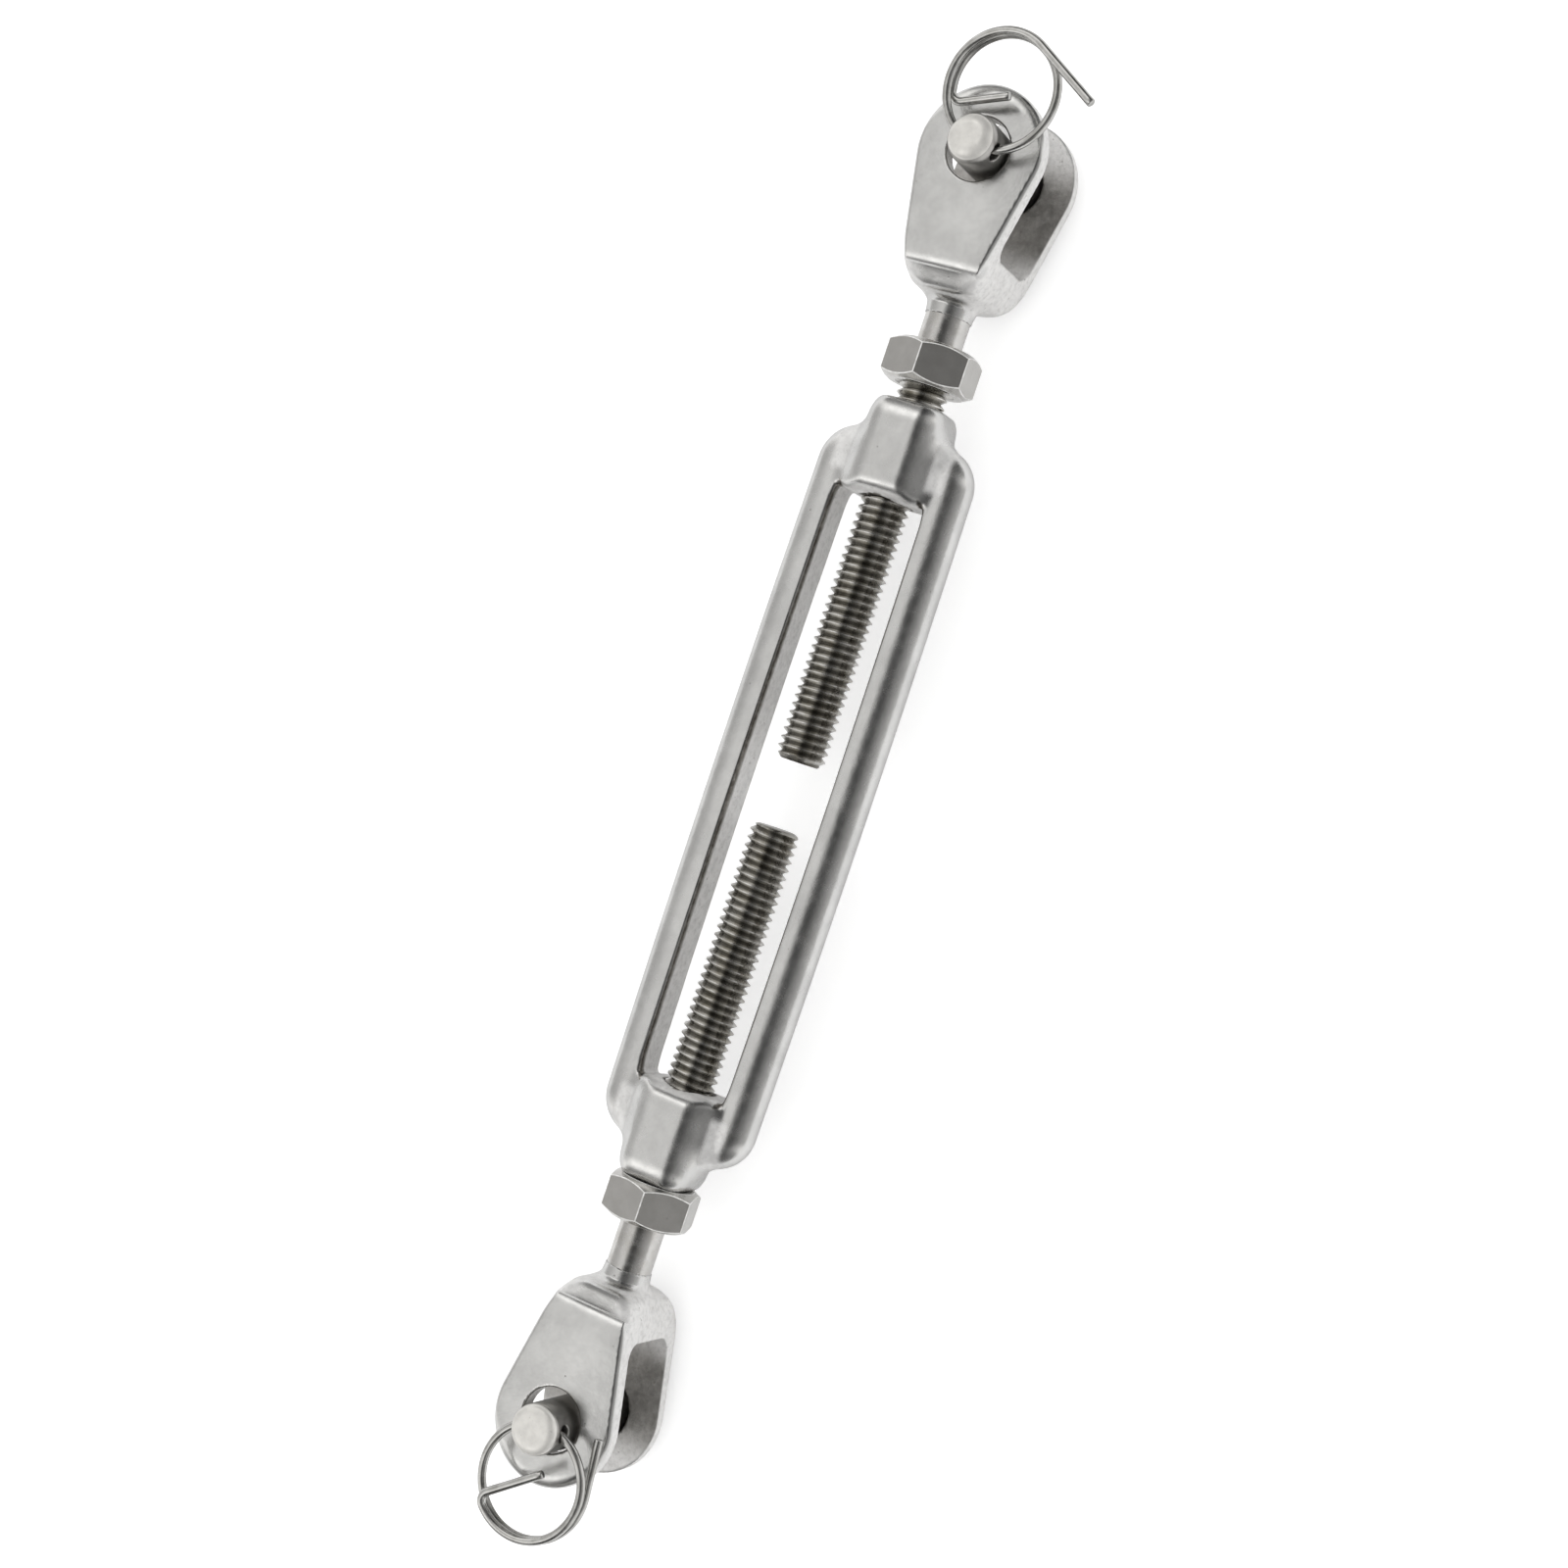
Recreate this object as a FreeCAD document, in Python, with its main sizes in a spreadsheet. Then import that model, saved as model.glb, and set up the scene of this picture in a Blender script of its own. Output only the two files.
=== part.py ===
import FreeCAD, Part
import os
import math
import Sketcher
from FreeCAD import Vector, Placement, Rotation

# Rigging turnbuckle, jaw and jaw, open body, size M6.
# Row frame: millimetres, origin on the screw axis at the middle of the body,
# +X along the screw axis towards the right-hand-threaded jaw,
# +Z along the clevis pins towards their split rings, +Y completes the right-handed set.
# The piece names start with rh for the right-hand-threaded end (+X) and lh for the left-hand-threaded end (-X).

os.makedirs("parts", exist_ok=True)
doc = FreeCAD.newDocument("turnbuckle")
sheet = doc.addObject("Spreadsheet::Sheet", "dims")

DRIVING = [
    # body
    ("frame_half", 47.3, "centre of the body to a boss end"),
    ("window_half", 36.55, "centre of the body to a window end"),
    ("window_corner", 0.95, "fillet in the window corners"),
    ("rail_out_mid", 10.1, "outside of a rail at mid length"),
    ("rail_in_mid", 6.0, "inside of a rail at mid length"),
    ("rail_bow", 0.28, "outward bow of the rails"),
    ("rail_height", 5.2, "height of a rail along the pins"),
    ("rail_round", 2.2, "rounding of the outer rail edges"),
    ("rail_round_in", 0.75, "rounding of the inner rail edges"),
    ("shoulder_start", 38.9, "where the rounded shoulder begins"),
    ("shoulder_round", 4.8, "radius of the rounded shoulder"),
    ("boss_fillet", 1.5, "concave fillet from shoulder to boss"),
    ("boss_side", 9.5, "side of the square boss"),
    ("boss_corner", 2.5, "corner radius of the boss"),
    ("boss_end_round", 1.4, "rounding of the outer boss edge"),
    ("tapped_bore", 6.1, "tapped bore, plain at just over the thread size"),
    ("bore_mouth", 0.45, "chamfer at the bore mouths"),
    # screws
    ("thread_major", 5.94, "outside of the thread"),
    ("thread_root", 4.78, "root of the thread"),
    ("thread_pitch", 1.0, "pitch"),
    ("root_flat", 0.2, "flat at the thread root"),
    ("tip_reach", 4.0, "centre of the body to a screw tip"),
    ("thread_end", 52.6, "centre of the body to the end of the thread"),
    ("neck_start", 53.2, "start of the plain neck"),
    ("neck_size", 5.4, "diameter of the plain neck"),
    ("seam_reach", 58.0, "centre of the body to the seam at the fork"),
    ("tip_chamfer", 0.75, "chamfer of the screw tip"),
    # forks
    ("pin_reach", 76.0, "centre of the body to a pin hole"),
    ("ear_round", 7.7, "radius of the ear tip"),
    ("ear_hole", 7.5, "hole in the ears"),
    ("jaw_width", 15.1, "across the two ears"),
    ("jaw_gap", 10.1, "between the two ears"),
    ("gap_depth", 11.0, "pin hole to the bottom of the gap"),
    ("gap_corner", 1.8, "radius in the bottom of the gap"),
    ("base_edge", 13.4, "pin hole to the edge of the ear face"),
    ("base_half", 5.1, "half width of the ear at that edge"),
    ("block_reach", 14.6, "pin hole to the start of the shoulder"),
    ("block_half", 4.85, "half width of the base block"),
    ("block_round", 1.6, "convex rounding of the base block in plan"),
    ("flank_reach", 11.9, "pin hole to the start of the shoulder in side view"),
    ("ear_edge", 0.7, "rounding of the ear edges"),
    # lock nuts
    ("nut_flats", 10.0, "across flats"),
    ("nut_height", 5.0, "height"),
    ("nut_bore", 6.1, "tapped bore, plain at just over the thread size"),
    ("nut_face", 9.0, "diameter of the flat face"),
    ("nut_mouth", 0.5, "chamfer at the nut bore"),
    ("rh_nut_at", 49.5, "inner face of the right-hand lock nut"),
    ("lh_nut_at", 47.32, "inner face of the left-hand lock nut"),
    ("rh_nut_roll", 3.4, "turn of the right-hand lock nut"),
    ("lh_nut_roll", 12.8, "turn of the left-hand lock nut"),
    # clevis pins
    ("pin_size", 5.9, "pin diameter"),
    ("pin_head", 9.0, "head diameter"),
    ("pin_head_top", 7.65, "underside of the head below the screw axis"),
    ("pin_head_low", 9.45, "back of the head below the screw axis"),
    ("pin_head_bevel", 0.35, "bevel of the head"),
    ("pin_tip", 12.35, "free end above the screw axis"),
    ("rh_pin_bevel", 0.95, "bevel of the right-hand pin's free end"),
    ("lh_pin_bevel", 0.45, "bevel of the left-hand pin's free end"),
    ("cross_hole", 2.0, "cross hole for the ring"),
    ("cross_hole_at", 9.9, "cross hole above the screw axis"),
    ("rh_pin_dx", 0.0, "play of the right-hand pin along the screw axis"),
    ("rh_pin_dy", -0.55, "play of the right-hand pin across the screw axis"),
    ("lh_pin_dx", -0.4, "play of the left-hand pin along the screw axis"),
    ("lh_pin_dy", -0.4, "play of the left-hand pin across the screw axis"),
    ("rh_pin_roll", 257.0, "direction of the right-hand cross hole"),
    ("lh_pin_roll", 98.0, "direction of the left-hand cross hole"),
    # split rings
    ("wire_size", 1.0, "wire diameter"),
    ("ring_radius", 6.5, "radius of the wire centre line"),
    ("ring_offset", 6.155, "ring centre to pin axis"),
    ("ring_climb", 1.25, "climb of the wire in one turn"),
    ("rh_ring_tilt", 7.0, "how far the right-hand ring stands up off the ear"),
    ("lh_ring_tilt", 0.0, "how far the left-hand ring stands up off the ear"),
]

DERIVED = [
    ("rail_out_end", "=rail_out_mid-rail_bow"),
    ("rail_in_end", "=rail_in_mid-rail_bow"),
    ("outer_arc", "=(shoulder_start^2+rail_bow^2)/(2*rail_bow)"),
    ("window_flat", "=window_half-window_corner"),
    ("inner_arc", "=(window_flat^2+rail_bow^2)/(2*rail_bow)"),
    ("window_side", "=rail_in_end-window_corner"),
    ("shoulder_y", "=rail_out_end-shoulder_round"),
    ("boss_half", "=boss_side/2"),
    ("blend_sum", "=shoulder_round+boss_fillet"),
    ("blend_dy", "=boss_half+boss_fillet-shoulder_y"),
    ("blend_dx", "=sqrt(blend_sum^2-blend_dy^2)"),
    ("blend_x", "=shoulder_start+blend_dx*shoulder_round/blend_sum"),
    ("blend_y", "=shoulder_y+blend_dy*shoulder_round/blend_sum"),
    ("blend_end", "=shoulder_start+blend_dx"),
    ("boss_inside", "=boss_half-1.5"),
    ("boss_flat", "=boss_half-boss_corner"),
    ("boss_length", "=frame_half-window_half"),
    ("bore_half", "=tapped_bore/2"),
    ("bore_wide", "=bore_half+2*bore_mouth"),
    ("bore_stop", "=frame_half-bore_mouth"),
    ("bore_past", "=frame_half+bore_mouth"),
    ("bore_start", "=window_half-1"),
    # screw, measured from its own tip
    ("major_half", "=thread_major/2"),
    ("root_half", "=thread_root/2"),
    ("tip_half", "=major_half-tip_chamfer"),
    ("screw_thread", "=thread_end-tip_reach"),
    ("screw_neck", "=neck_start-tip_reach"),
    ("screw_length", "=seam_reach-tip_reach"),
    ("neck_half", "=neck_size/2"),
    ("groove_out", "=major_half+0.08"),
    ("groove_low", "=root_flat/2"),
    ("groove_high", "=groove_low+(groove_out-root_half)*tan(30deg)"),
    ("helix_height", "=screw_thread+thread_pitch"),
    # fork, measured from its own pin hole
    ("seam_x", "=pin_reach-seam_reach"),
    ("hole_half", "=ear_hole/2"),
    ("taper_len", "=sqrt(base_edge^2+base_half^2)"),
    ("shoulder_c_y", "=block_half-block_round"),
    ("plan_run", "=seam_x-block_reach"),
    ("plan_fall", "=shoulder_c_y-neck_half"),
    ("neck_fillet", "=(plan_run^2+plan_fall^2-block_round^2)/(2*(block_round+plan_fall))"),
    ("plan_share", "=block_round/(block_round+neck_fillet)"),
    ("plan_x", "=block_reach+plan_run*plan_share"),
    ("plan_y", "=shoulder_c_y+(neck_half+neck_fillet-shoulder_c_y)*plan_share"),
    ("jaw_half", "=jaw_width/2"),
    ("gap_half", "=jaw_gap/2"),
    ("gap_flat", "=gap_half-gap_corner"),
    ("gap_turn", "=gap_depth-gap_corner"),
    ("side_run", "=seam_x-flank_reach"),
    ("side_rise", "=jaw_half-neck_half-neck_fillet"),
    ("side_round", "=(side_run^2+side_rise^2-neck_fillet^2)/(2*(neck_fillet+side_rise))"),
    ("side_share", "=side_round/(side_round+neck_fillet)"),
    ("side_x", "=flank_reach+side_run*side_share"),
    ("side_z", "=jaw_half-side_round+(neck_half+neck_fillet-jaw_half+side_round)*side_share"),
    # nut, measured from its inner face
    ("nut_corner", "=nut_flats/sqrt(3)"),
    ("nut_corner_half", "=nut_corner/2"),
    ("nut_flat_half", "=nut_flats/2"),
    ("nut_bore_half", "=nut_bore/2"),
    ("nut_mouth_half", "=nut_bore_half+nut_mouth"),
    ("nut_far_mouth", "=nut_height-nut_mouth"),
    ("nut_face_half", "=nut_face/2"),
    ("nut_envelope", "=nut_corner+0.05"),
    ("nut_slope", "=(nut_envelope-nut_face_half)*tan(30deg)"),
    ("nut_far_slope", "=nut_height-nut_slope"),
    # pin
    ("pin_half", "=pin_size/2"),
    ("head_half", "=pin_head/2"),
    ("head_half_in", "=head_half-pin_head_bevel"),
    ("head_low_in", "=pin_head_low-pin_head_bevel"),
    ("head_top_in", "=pin_head_top+0.2"),
    ("head_half_top", "=head_half-0.2"),
    ("rh_tip_in", "=pin_tip-rh_pin_bevel"),
    ("rh_tip_half", "=pin_half-rh_pin_bevel"),
    ("lh_tip_in", "=pin_tip-lh_pin_bevel"),
    ("lh_tip_half", "=pin_half-lh_pin_bevel"),
    ("cross_half", "=cross_hole/2"),
    ("wire_half", "=wire_size/2"),
    ("beyond", "=jaw_width/2+3.5"),
    ("seam_past", "=seam_x+1"),
    ("round_x", "=seam_x-neck_fillet*sin(60deg)"),
    ("round_r", "=neck_half+neck_fillet*(1-cos(60deg))"),
    ("trim_r", "=jaw_half+1.9"),
    ("trim_x", "=round_x-(trim_r-round_r)/tan(60deg)"),
]

row = 1
for alias, value, note in DRIVING:
    sheet.set("A%d" % row, note)
    sheet.set("B%d" % row, "%s" % value)
    sheet.setAlias("B%d" % row, alias)
    row += 1
for alias, formula in DERIVED:
    sheet.set("A%d" % row, "worked out")
    sheet.set("B%d" % row, formula)
    sheet.setAlias("B%d" % row, alias)
    row += 1
# where the straight side of the ear touches the round of the tip
for alias, formula in [
    ("tangent_turn", "=atan(base_half/base_edge)+acos(ear_round/taper_len)"),
    ("tangent_x", "=ear_round*cos(tangent_turn)"),
    ("tangent_y", "=ear_round*sin(tangent_turn)"),
]:
    sheet.set("A%d" % row, "worked out")
    sheet.set("B%d" % row, formula)
    sheet.setAlias("B%d" % row, alias)
    row += 1
doc.recompute()


def number(e):
    """The value of a coordinate: 0, a cell's alias, or an alias with a minus sign."""
    if not isinstance(e, str):
        return float(e)
    sign, alias = (-1.0, e[1:]) if e.startswith("-") else (1.0, e)
    value = sheet.get(alias)
    return sign * float(getattr(value, "Value", value))


def bound(e):
    return "-dims.%s" % e[1:] if e.startswith("-") else "dims.%s" % e


def plane(body, role):
    return next(o for o in body.Origin.OriginFeatures if o.Role == role)


def sketch_in(body, name, role):
    sk = body.newObject("Sketcher::SketchObject", name)
    sk.AttachmentSupport = [(plane(body, role), "")]
    sk.MapMode = "FlatFace"
    return sk


def outline(sk, points, arcs=None):
    """A closed outline. points holds pairs of coordinates; arcs holds, by segment number, (radius, +1 for anticlockwise or -1 for clockwise)."""
    arcs = arcs or {}
    n = len(points)
    ends, first = [], sk.GeometryCount
    for i in range(n):
        p = Vector(number(points[i][0]), number(points[i][1]), 0)
        q = Vector(number(points[(i + 1) % n][0]), number(points[(i + 1) % n][1]), 0)
        if i in arcs:
            radius, turn = arcs[i]
            r = number(radius)
            half = (q - p).Length / 2
            along = (q - p).normalize()
            left = Vector(-along.y, along.x, 0)
            rise = math.sqrt(max(r * r - half * half, 0.0))
            c = (p + q) * 0.5 + left * (rise * turn)
            a, b = (p, q) if turn > 0 else (q, p)
            a0 = math.atan2(a.y - c.y, a.x - c.x)
            a1 = math.atan2(b.y - c.y, b.x - c.x)
            if a1 < a0:
                a1 += 2 * math.pi
            g = sk.addGeometry(Part.ArcOfCircle(Part.Circle(c, Vector(0, 0, 1), r), a0, a1), False)
            k = sk.addConstraint(Sketcher.Constraint("Radius", g, r))
            sk.setExpression("Constraints[%d]" % k, bound(radius))
            ends.append((g, 1, 2) if turn > 0 else (g, 2, 1))
        else:
            g = sk.addGeometry(Part.LineSegment(p, q), False)
            ends.append((g, 1, 2))
    for i in range(n):
        g, start, _ = ends[i]
        before, _, end = ends[i - 1]
        sk.addConstraint(Sketcher.Constraint("Coincident", before, end, g, start))
        for kind, axis, e in (("DistanceX", -2, points[i][0]), ("DistanceY", -1, points[i][1])):
            if isinstance(e, str):
                k = sk.addConstraint(Sketcher.Constraint(kind, -1, 1, g, start, number(e)))
                sk.setExpression("Constraints[%d]" % k, bound(e))
            else:
                sk.addConstraint(Sketcher.Constraint("PointOnObject", g, start, axis))
    return first


def hole_circle(sk, radius):
    g = sk.addGeometry(Part.Circle(Vector(0, 0, 0), Vector(0, 0, 1), number(radius)), False)
    sk.addConstraint(Sketcher.Constraint("Coincident", g, 3, -1, 1))
    k = sk.addConstraint(Sketcher.Constraint("Radius", g, number(radius)))
    sk.setExpression("Constraints[%d]" % k, bound(radius))


def both_sides(feature):
    if hasattr(feature, "SideType"):
        feature.SideType = "Symmetric"
    else:
        feature.Midplane = True


def pad(body, name, sk, length, symmetric=True):
    f = body.newObject("PartDesign::Pad", name)
    f.Profile = sk
    f.setExpression("Length", bound(length))
    if symmetric:
        both_sides(f)
    sk.Visibility = False
    return f


def pocket_through(body, name, sk):
    f = body.newObject("PartDesign::Pocket", name)
    f.Profile = sk
    f.Length = 60
    both_sides(f)
    sk.Visibility = False
    return f


def turned(body, name, sk, role, cut=False):
    f = body.newObject("PartDesign::Groove" if cut else "PartDesign::Revolution", name)
    f.Profile = sk
    f.ReferenceAxis = (plane(body, role), [""])
    f.Angle = 360
    sk.Visibility = False
    return f


def rounded(body, name, base, radius, wanted):
    """A fillet on the edges of base that wanted picks by their middle point and their shape."""
    doc.recompute()
    names = []
    for i, e in enumerate(base.Shape.Edges):
        try:
            m = e.valueAt((e.FirstParameter + e.LastParameter) / 2)
        except Exception:
            continue
        if wanted(m, e):
            names.append("Edge%d" % (i + 1))
    f = body.newObject("PartDesign::Fillet", name)
    f.Base = (base, names)
    f.setExpression("Radius", bound(radius))
    doc.recompute()
    return f


nodes = {}

# ---------------------------------------------------------------- body
frame = doc.addObject("PartDesign::Body", "frame")
sk = sketch_in(frame, "frame_rails", "XY_Plane")
outline(
    sk,
    [
        ("-shoulder_start", "rail_out_end"),
        ("shoulder_start", "rail_out_end"),
        ("blend_x", "blend_y"),
        ("blend_end", "boss_half"),
        ("blend_end", "boss_inside"),
        ("blend_end", "-boss_inside"),
        ("blend_end", "-boss_half"),
        ("blend_x", "-blend_y"),
        ("shoulder_start", "-rail_out_end"),
        ("-shoulder_start", "-rail_out_end"),
        ("-blend_x", "-blend_y"),
        ("-blend_end", "-boss_half"),
        ("-blend_end", "-boss_inside"),
        ("-blend_end", "boss_inside"),
        ("-blend_end", "boss_half"),
        ("-blend_x", "blend_y"),
    ],
    {
        0: ("outer_arc", -1),
        1: ("shoulder_round", -1),
        2: ("boss_fillet", 1),
        6: ("boss_fillet", 1),
        7: ("shoulder_round", -1),
        8: ("outer_arc", -1),
        9: ("shoulder_round", -1),
        10: ("boss_fillet", 1),
        14: ("boss_fillet", 1),
        15: ("shoulder_round", -1),
    },
)
outline(
    sk,
    [
        ("-window_flat", "rail_in_end"),
        ("window_flat", "rail_in_end"),
        ("window_half", "window_side"),
        ("window_half", "-window_side"),
        ("window_flat", "-rail_in_end"),
        ("-window_flat", "-rail_in_end"),
        ("-window_half", "-window_side"),
        ("-window_half", "window_side"),
    ],
    {
        0: ("inner_arc", -1),
        1: ("window_corner", -1),
        3: ("window_corner", -1),
        4: ("inner_arc", -1),
        5: ("window_corner", -1),
        7: ("window_corner", -1),
    },
)
rails = pad(frame, "frame_rail_pad", sk, "rail_height")
doc.recompute()
half = number("rail_height") / 2


def flat_edge(e):
    return abs(abs(e.Vertexes[0].Z) - half) < 1e-3 and abs(e.Vertexes[0].Z - e.Vertexes[-1].Z) < 1e-6


rails_out = rounded(
    frame,
    "frame_rail_round",
    rails,
    "rail_round",
    lambda m, e: flat_edge(e) and abs(m.y) > number("boss_half") - 0.01 + 0.3 and (abs(m.y) > number("rail_in_mid") + 1 or abs(m.x) > number("window_half") + 2),
)
rails_in = rounded(
    frame,
    "frame_window_round",
    rails_out,
    "rail_round_in",
    lambda m, e: flat_edge(e) and abs(m.y) <= number("rail_in_mid") + 0.1 and abs(m.x) <= number("window_half") + 0.01 and len(e.Vertexes) == 2,
)
nodes["frame"] = frame

sk = sketch_in(frame, "frame_boss", "YZ_Plane")
outline(
    sk,
    [
        ("boss_half", "-boss_flat"),
        ("boss_half", "boss_flat"),
        ("boss_flat", "boss_half"),
        ("-boss_flat", "boss_half"),
        ("-boss_half", "boss_flat"),
        ("-boss_half", "-boss_flat"),
        ("-boss_flat", "-boss_half"),
        ("boss_flat", "-boss_half"),
    ],
    {1: ("boss_corner", 1), 3: ("boss_corner", 1), 5: ("boss_corner", 1), 7: ("boss_corner", 1)},
)
sk.setExpression("AttachmentOffset.Base.z", "dims.window_half")
boss = pad(frame, "frame_boss_pad", sk, "boss_length", symmetric=False)
other = frame.newObject("PartDesign::Mirrored", "frame_boss_other")
other.Originals = [boss]
other.MirrorPlane = (plane(frame, "YZ_Plane"), [""])
frame.Tip = other
boss_ends = rounded(
    frame,
    "frame_boss_round",
    other,
    "boss_end_round",
    lambda m, e: abs(abs(m.x) - number("frame_half")) < 1e-3,
)
for side, sign in (("rh", ""), ("lh", "-")):
    sk = sketch_in(frame, "frame_bore_" + side, "XY_Plane")
    outline(
        sk,
        [
            (sign + "bore_start", 0),
            (sign + "bore_past", 0),
            (sign + "bore_past", "bore_wide"),
            (sign + "bore_stop", "bore_half"),
            (sign + "bore_start", "bore_half"),
        ],
    )
    turned(frame, "frame_bore_cut_" + side, sk, "X_Axis", cut=True)
doc.recompute()

# ---------------------------------------------------------------- screws
def screw(side, hand):
    """A screw along its own +Z from its tip. The right-handed one is the mirror image of a left-handed one."""
    prof = doc.addObject("Sketcher::SketchObject", side + "_screw_profile")
    prof.Placement = Placement(Vector(0, 0, 0), Rotation(Vector(1, 0, 0), 90))
    outline(
        prof,
        [
            (0, 0),
            ("tip_half", 0),
            ("major_half", "tip_chamfer"),
            ("major_half", "screw_thread"),
            ("neck_half", "screw_neck"),
            ("neck_half", "screw_length"),
            (0, "screw_length"),
        ],
    )
    blank = doc.addObject("Part::Revolution", side + "_screw_blank")
    blank.Source = prof
    blank.Axis = Vector(0, 0, 1)
    blank.Base = Vector(0, 0, 0)
    blank.Angle = 360
    blank.Solid = True
    helix = doc.addObject("Part::Helix", side + "_screw_helix")
    helix.setExpression("Pitch", "dims.thread_pitch")
    helix.setExpression("Height", "dims.helix_height")
    helix.setExpression("Radius", "dims.root_half")
    helix.LocalCoord = "Left-handed"
    helix.SegmentLength = 1
    helix.setExpression("Placement.Base.z", "-dims.thread_pitch")
    groove = doc.addObject("Sketcher::SketchObject", side + "_screw_groove")
    groove.Placement = Placement(Vector(0, 0, 0), Rotation(Vector(1, 0, 0), 90))
    outline(
        groove,
        [
            ("root_half", "-groove_low"),
            ("groove_out", "-groove_high"),
            ("groove_out", "groove_high"),
            ("root_half", "groove_low"),
        ],
    )
    groove.setExpression("Placement.Base.z", "-dims.thread_pitch")
    cutter = doc.addObject("Part::Sweep", side + "_screw_cutter")
    cutter.Sections = [groove]
    cutter.Spine = (helix, [])
    cutter.Solid = True
    cutter.Frenet = True
    body = doc.addObject("Part::Cut", side + ("_screw" if hand == "Left-handed" else "_screw_mirrored"))
    body.Base = blank
    body.Tool = cutter
    if hand == "Left-handed":
        return body
    mirror = doc.addObject("Part::Mirroring", side + "_screw")
    mirror.Source = body
    mirror.Normal = Vector(1, 0, 0)
    mirror.Base = Vector(0, 0, 0)
    return mirror


for side, hand in (("rh", "Right-handed"), ("lh", "Left-handed")):
    nodes[side + "_screw"] = screw(side, hand)
    doc.recompute()
nodes["rh_screw"].Placement = Placement(Vector(number("tip_reach"), 0, 0), Rotation(Vector(0, 1, 0), 90))
nodes["lh_screw"].Placement = Placement(Vector(-number("tip_reach"), 0, 0), Rotation(Vector(0, 1, 0), -90))
nodes["rh_screw"].setExpression("Placement.Base.x", "dims.tip_reach")
nodes["lh_screw"].setExpression("Placement.Base.x", "-dims.tip_reach")


# ---------------------------------------------------------------- forks
def fork(side):
    """A fork with its own origin at the middle of its pin hole, its seam towards -X."""
    body = doc.addObject("PartDesign::Body", side + "_fork")
    sk = sketch_in(body, side + "_fork_plan", "XY_Plane")
    outline(
        sk,
        [
            ("-tangent_x", "-tangent_y"),
            ("ear_round", 0),
            ("-tangent_x", "tangent_y"),
            ("-base_edge", "base_half"),
            ("-block_reach", "block_half"),
            ("-plan_x", "plan_y"),
            ("-seam_x", "neck_half"),
            ("-seam_x", "-neck_half"),
            ("-plan_x", "-plan_y"),
            ("-block_reach", "-block_half"),
            ("-base_edge", "-base_half"),
        ],
        {
            0: ("ear_round", 1),
            1: ("ear_round", 1),
            4: ("block_round", 1),
            5: ("neck_fillet", -1),
            7: ("neck_fillet", -1),
            8: ("block_round", 1),
        },
    )
    plan = pad(body, side + "_fork_pad", sk, "jaw_width")
    doc.recompute()
    edges = rounded(
        body,
        side + "_fork_edges",
        plan,
        "ear_edge",
        lambda m, e: abs(abs(m.z) - number("jaw_half")) < 1e-3,
    )
    # the shoulder in side view
    sk = sketch_in(body, side + "_fork_side", "XZ_Plane")
    outline(
        sk,
        [
            ("-seam_x", "neck_half"),
            ("-side_x", "side_z"),
            ("-flank_reach", "jaw_half"),
            ("-flank_reach", "beyond"),
            ("-seam_past", "beyond"),
            ("-seam_past", "neck_half"),
        ],
        {0: ("neck_fillet", 1), 1: ("side_round", -1)},
    )
    outline(
        sk,
        [
            ("-seam_x", "-neck_half"),
            ("-seam_past", "-neck_half"),
            ("-seam_past", "-beyond"),
            ("-flank_reach", "-beyond"),
            ("-flank_reach", "-jaw_half"),
            ("-side_x", "-side_z"),
        ],
        {4: ("side_round", -1), 5: ("neck_fillet", 1)},
    )
    shoulder = pocket_through(body, side + "_fork_shoulder", sk)
    doc.recompute()
    # the corners of the base block are turned off towards the round neck
    sk = sketch_in(body, side + "_fork_round", "XY_Plane")
    outline(
        sk,
        [
            ("-seam_x", "neck_half"),
            ("-round_x", "round_r"),
            ("-trim_x", "trim_r"),
            ("-seam_past", "trim_r"),
            ("-seam_past", "neck_half"),
        ],
        {0: ("neck_fillet", 1)},
    )
    turned(body, side + "_fork_round_cut", sk, "X_Axis", cut=True)
    doc.recompute()
    # the gap between the ears, and the pin hole
    sk = sketch_in(body, side + "_fork_gap", "XZ_Plane")
    outline(
        sk,
        [
            ("-gap_depth", "-gap_flat"),
            ("-gap_turn", "-gap_half"),
            ("beyond", "-gap_half"),
            ("beyond", "gap_half"),
            ("-gap_turn", "gap_half"),
            ("-gap_depth", "gap_flat"),
        ],
        {0: ("gap_corner", 1), 4: ("gap_corner", 1)},
    )
    gap = pocket_through(body, side + "_fork_gap_cut", sk)
    sk = sketch_in(body, side + "_fork_eye", "XY_Plane")
    hole_circle(sk, "hole_half")
    eye = pocket_through(body, side + "_fork_eye_cut", sk)
    doc.recompute()
    return body


for side in ("rh", "lh"):
    nodes[side + "_fork"] = fork(side)
nodes["rh_fork"].setExpression("Placement.Base.x", "dims.pin_reach")
nodes["lh_fork"].Placement = Placement(Vector(-number("pin_reach"), 0, 0), Rotation(Vector(0, 0, 1), 180))
nodes["lh_fork"].setExpression("Placement.Base.x", "-dims.pin_reach")


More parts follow.
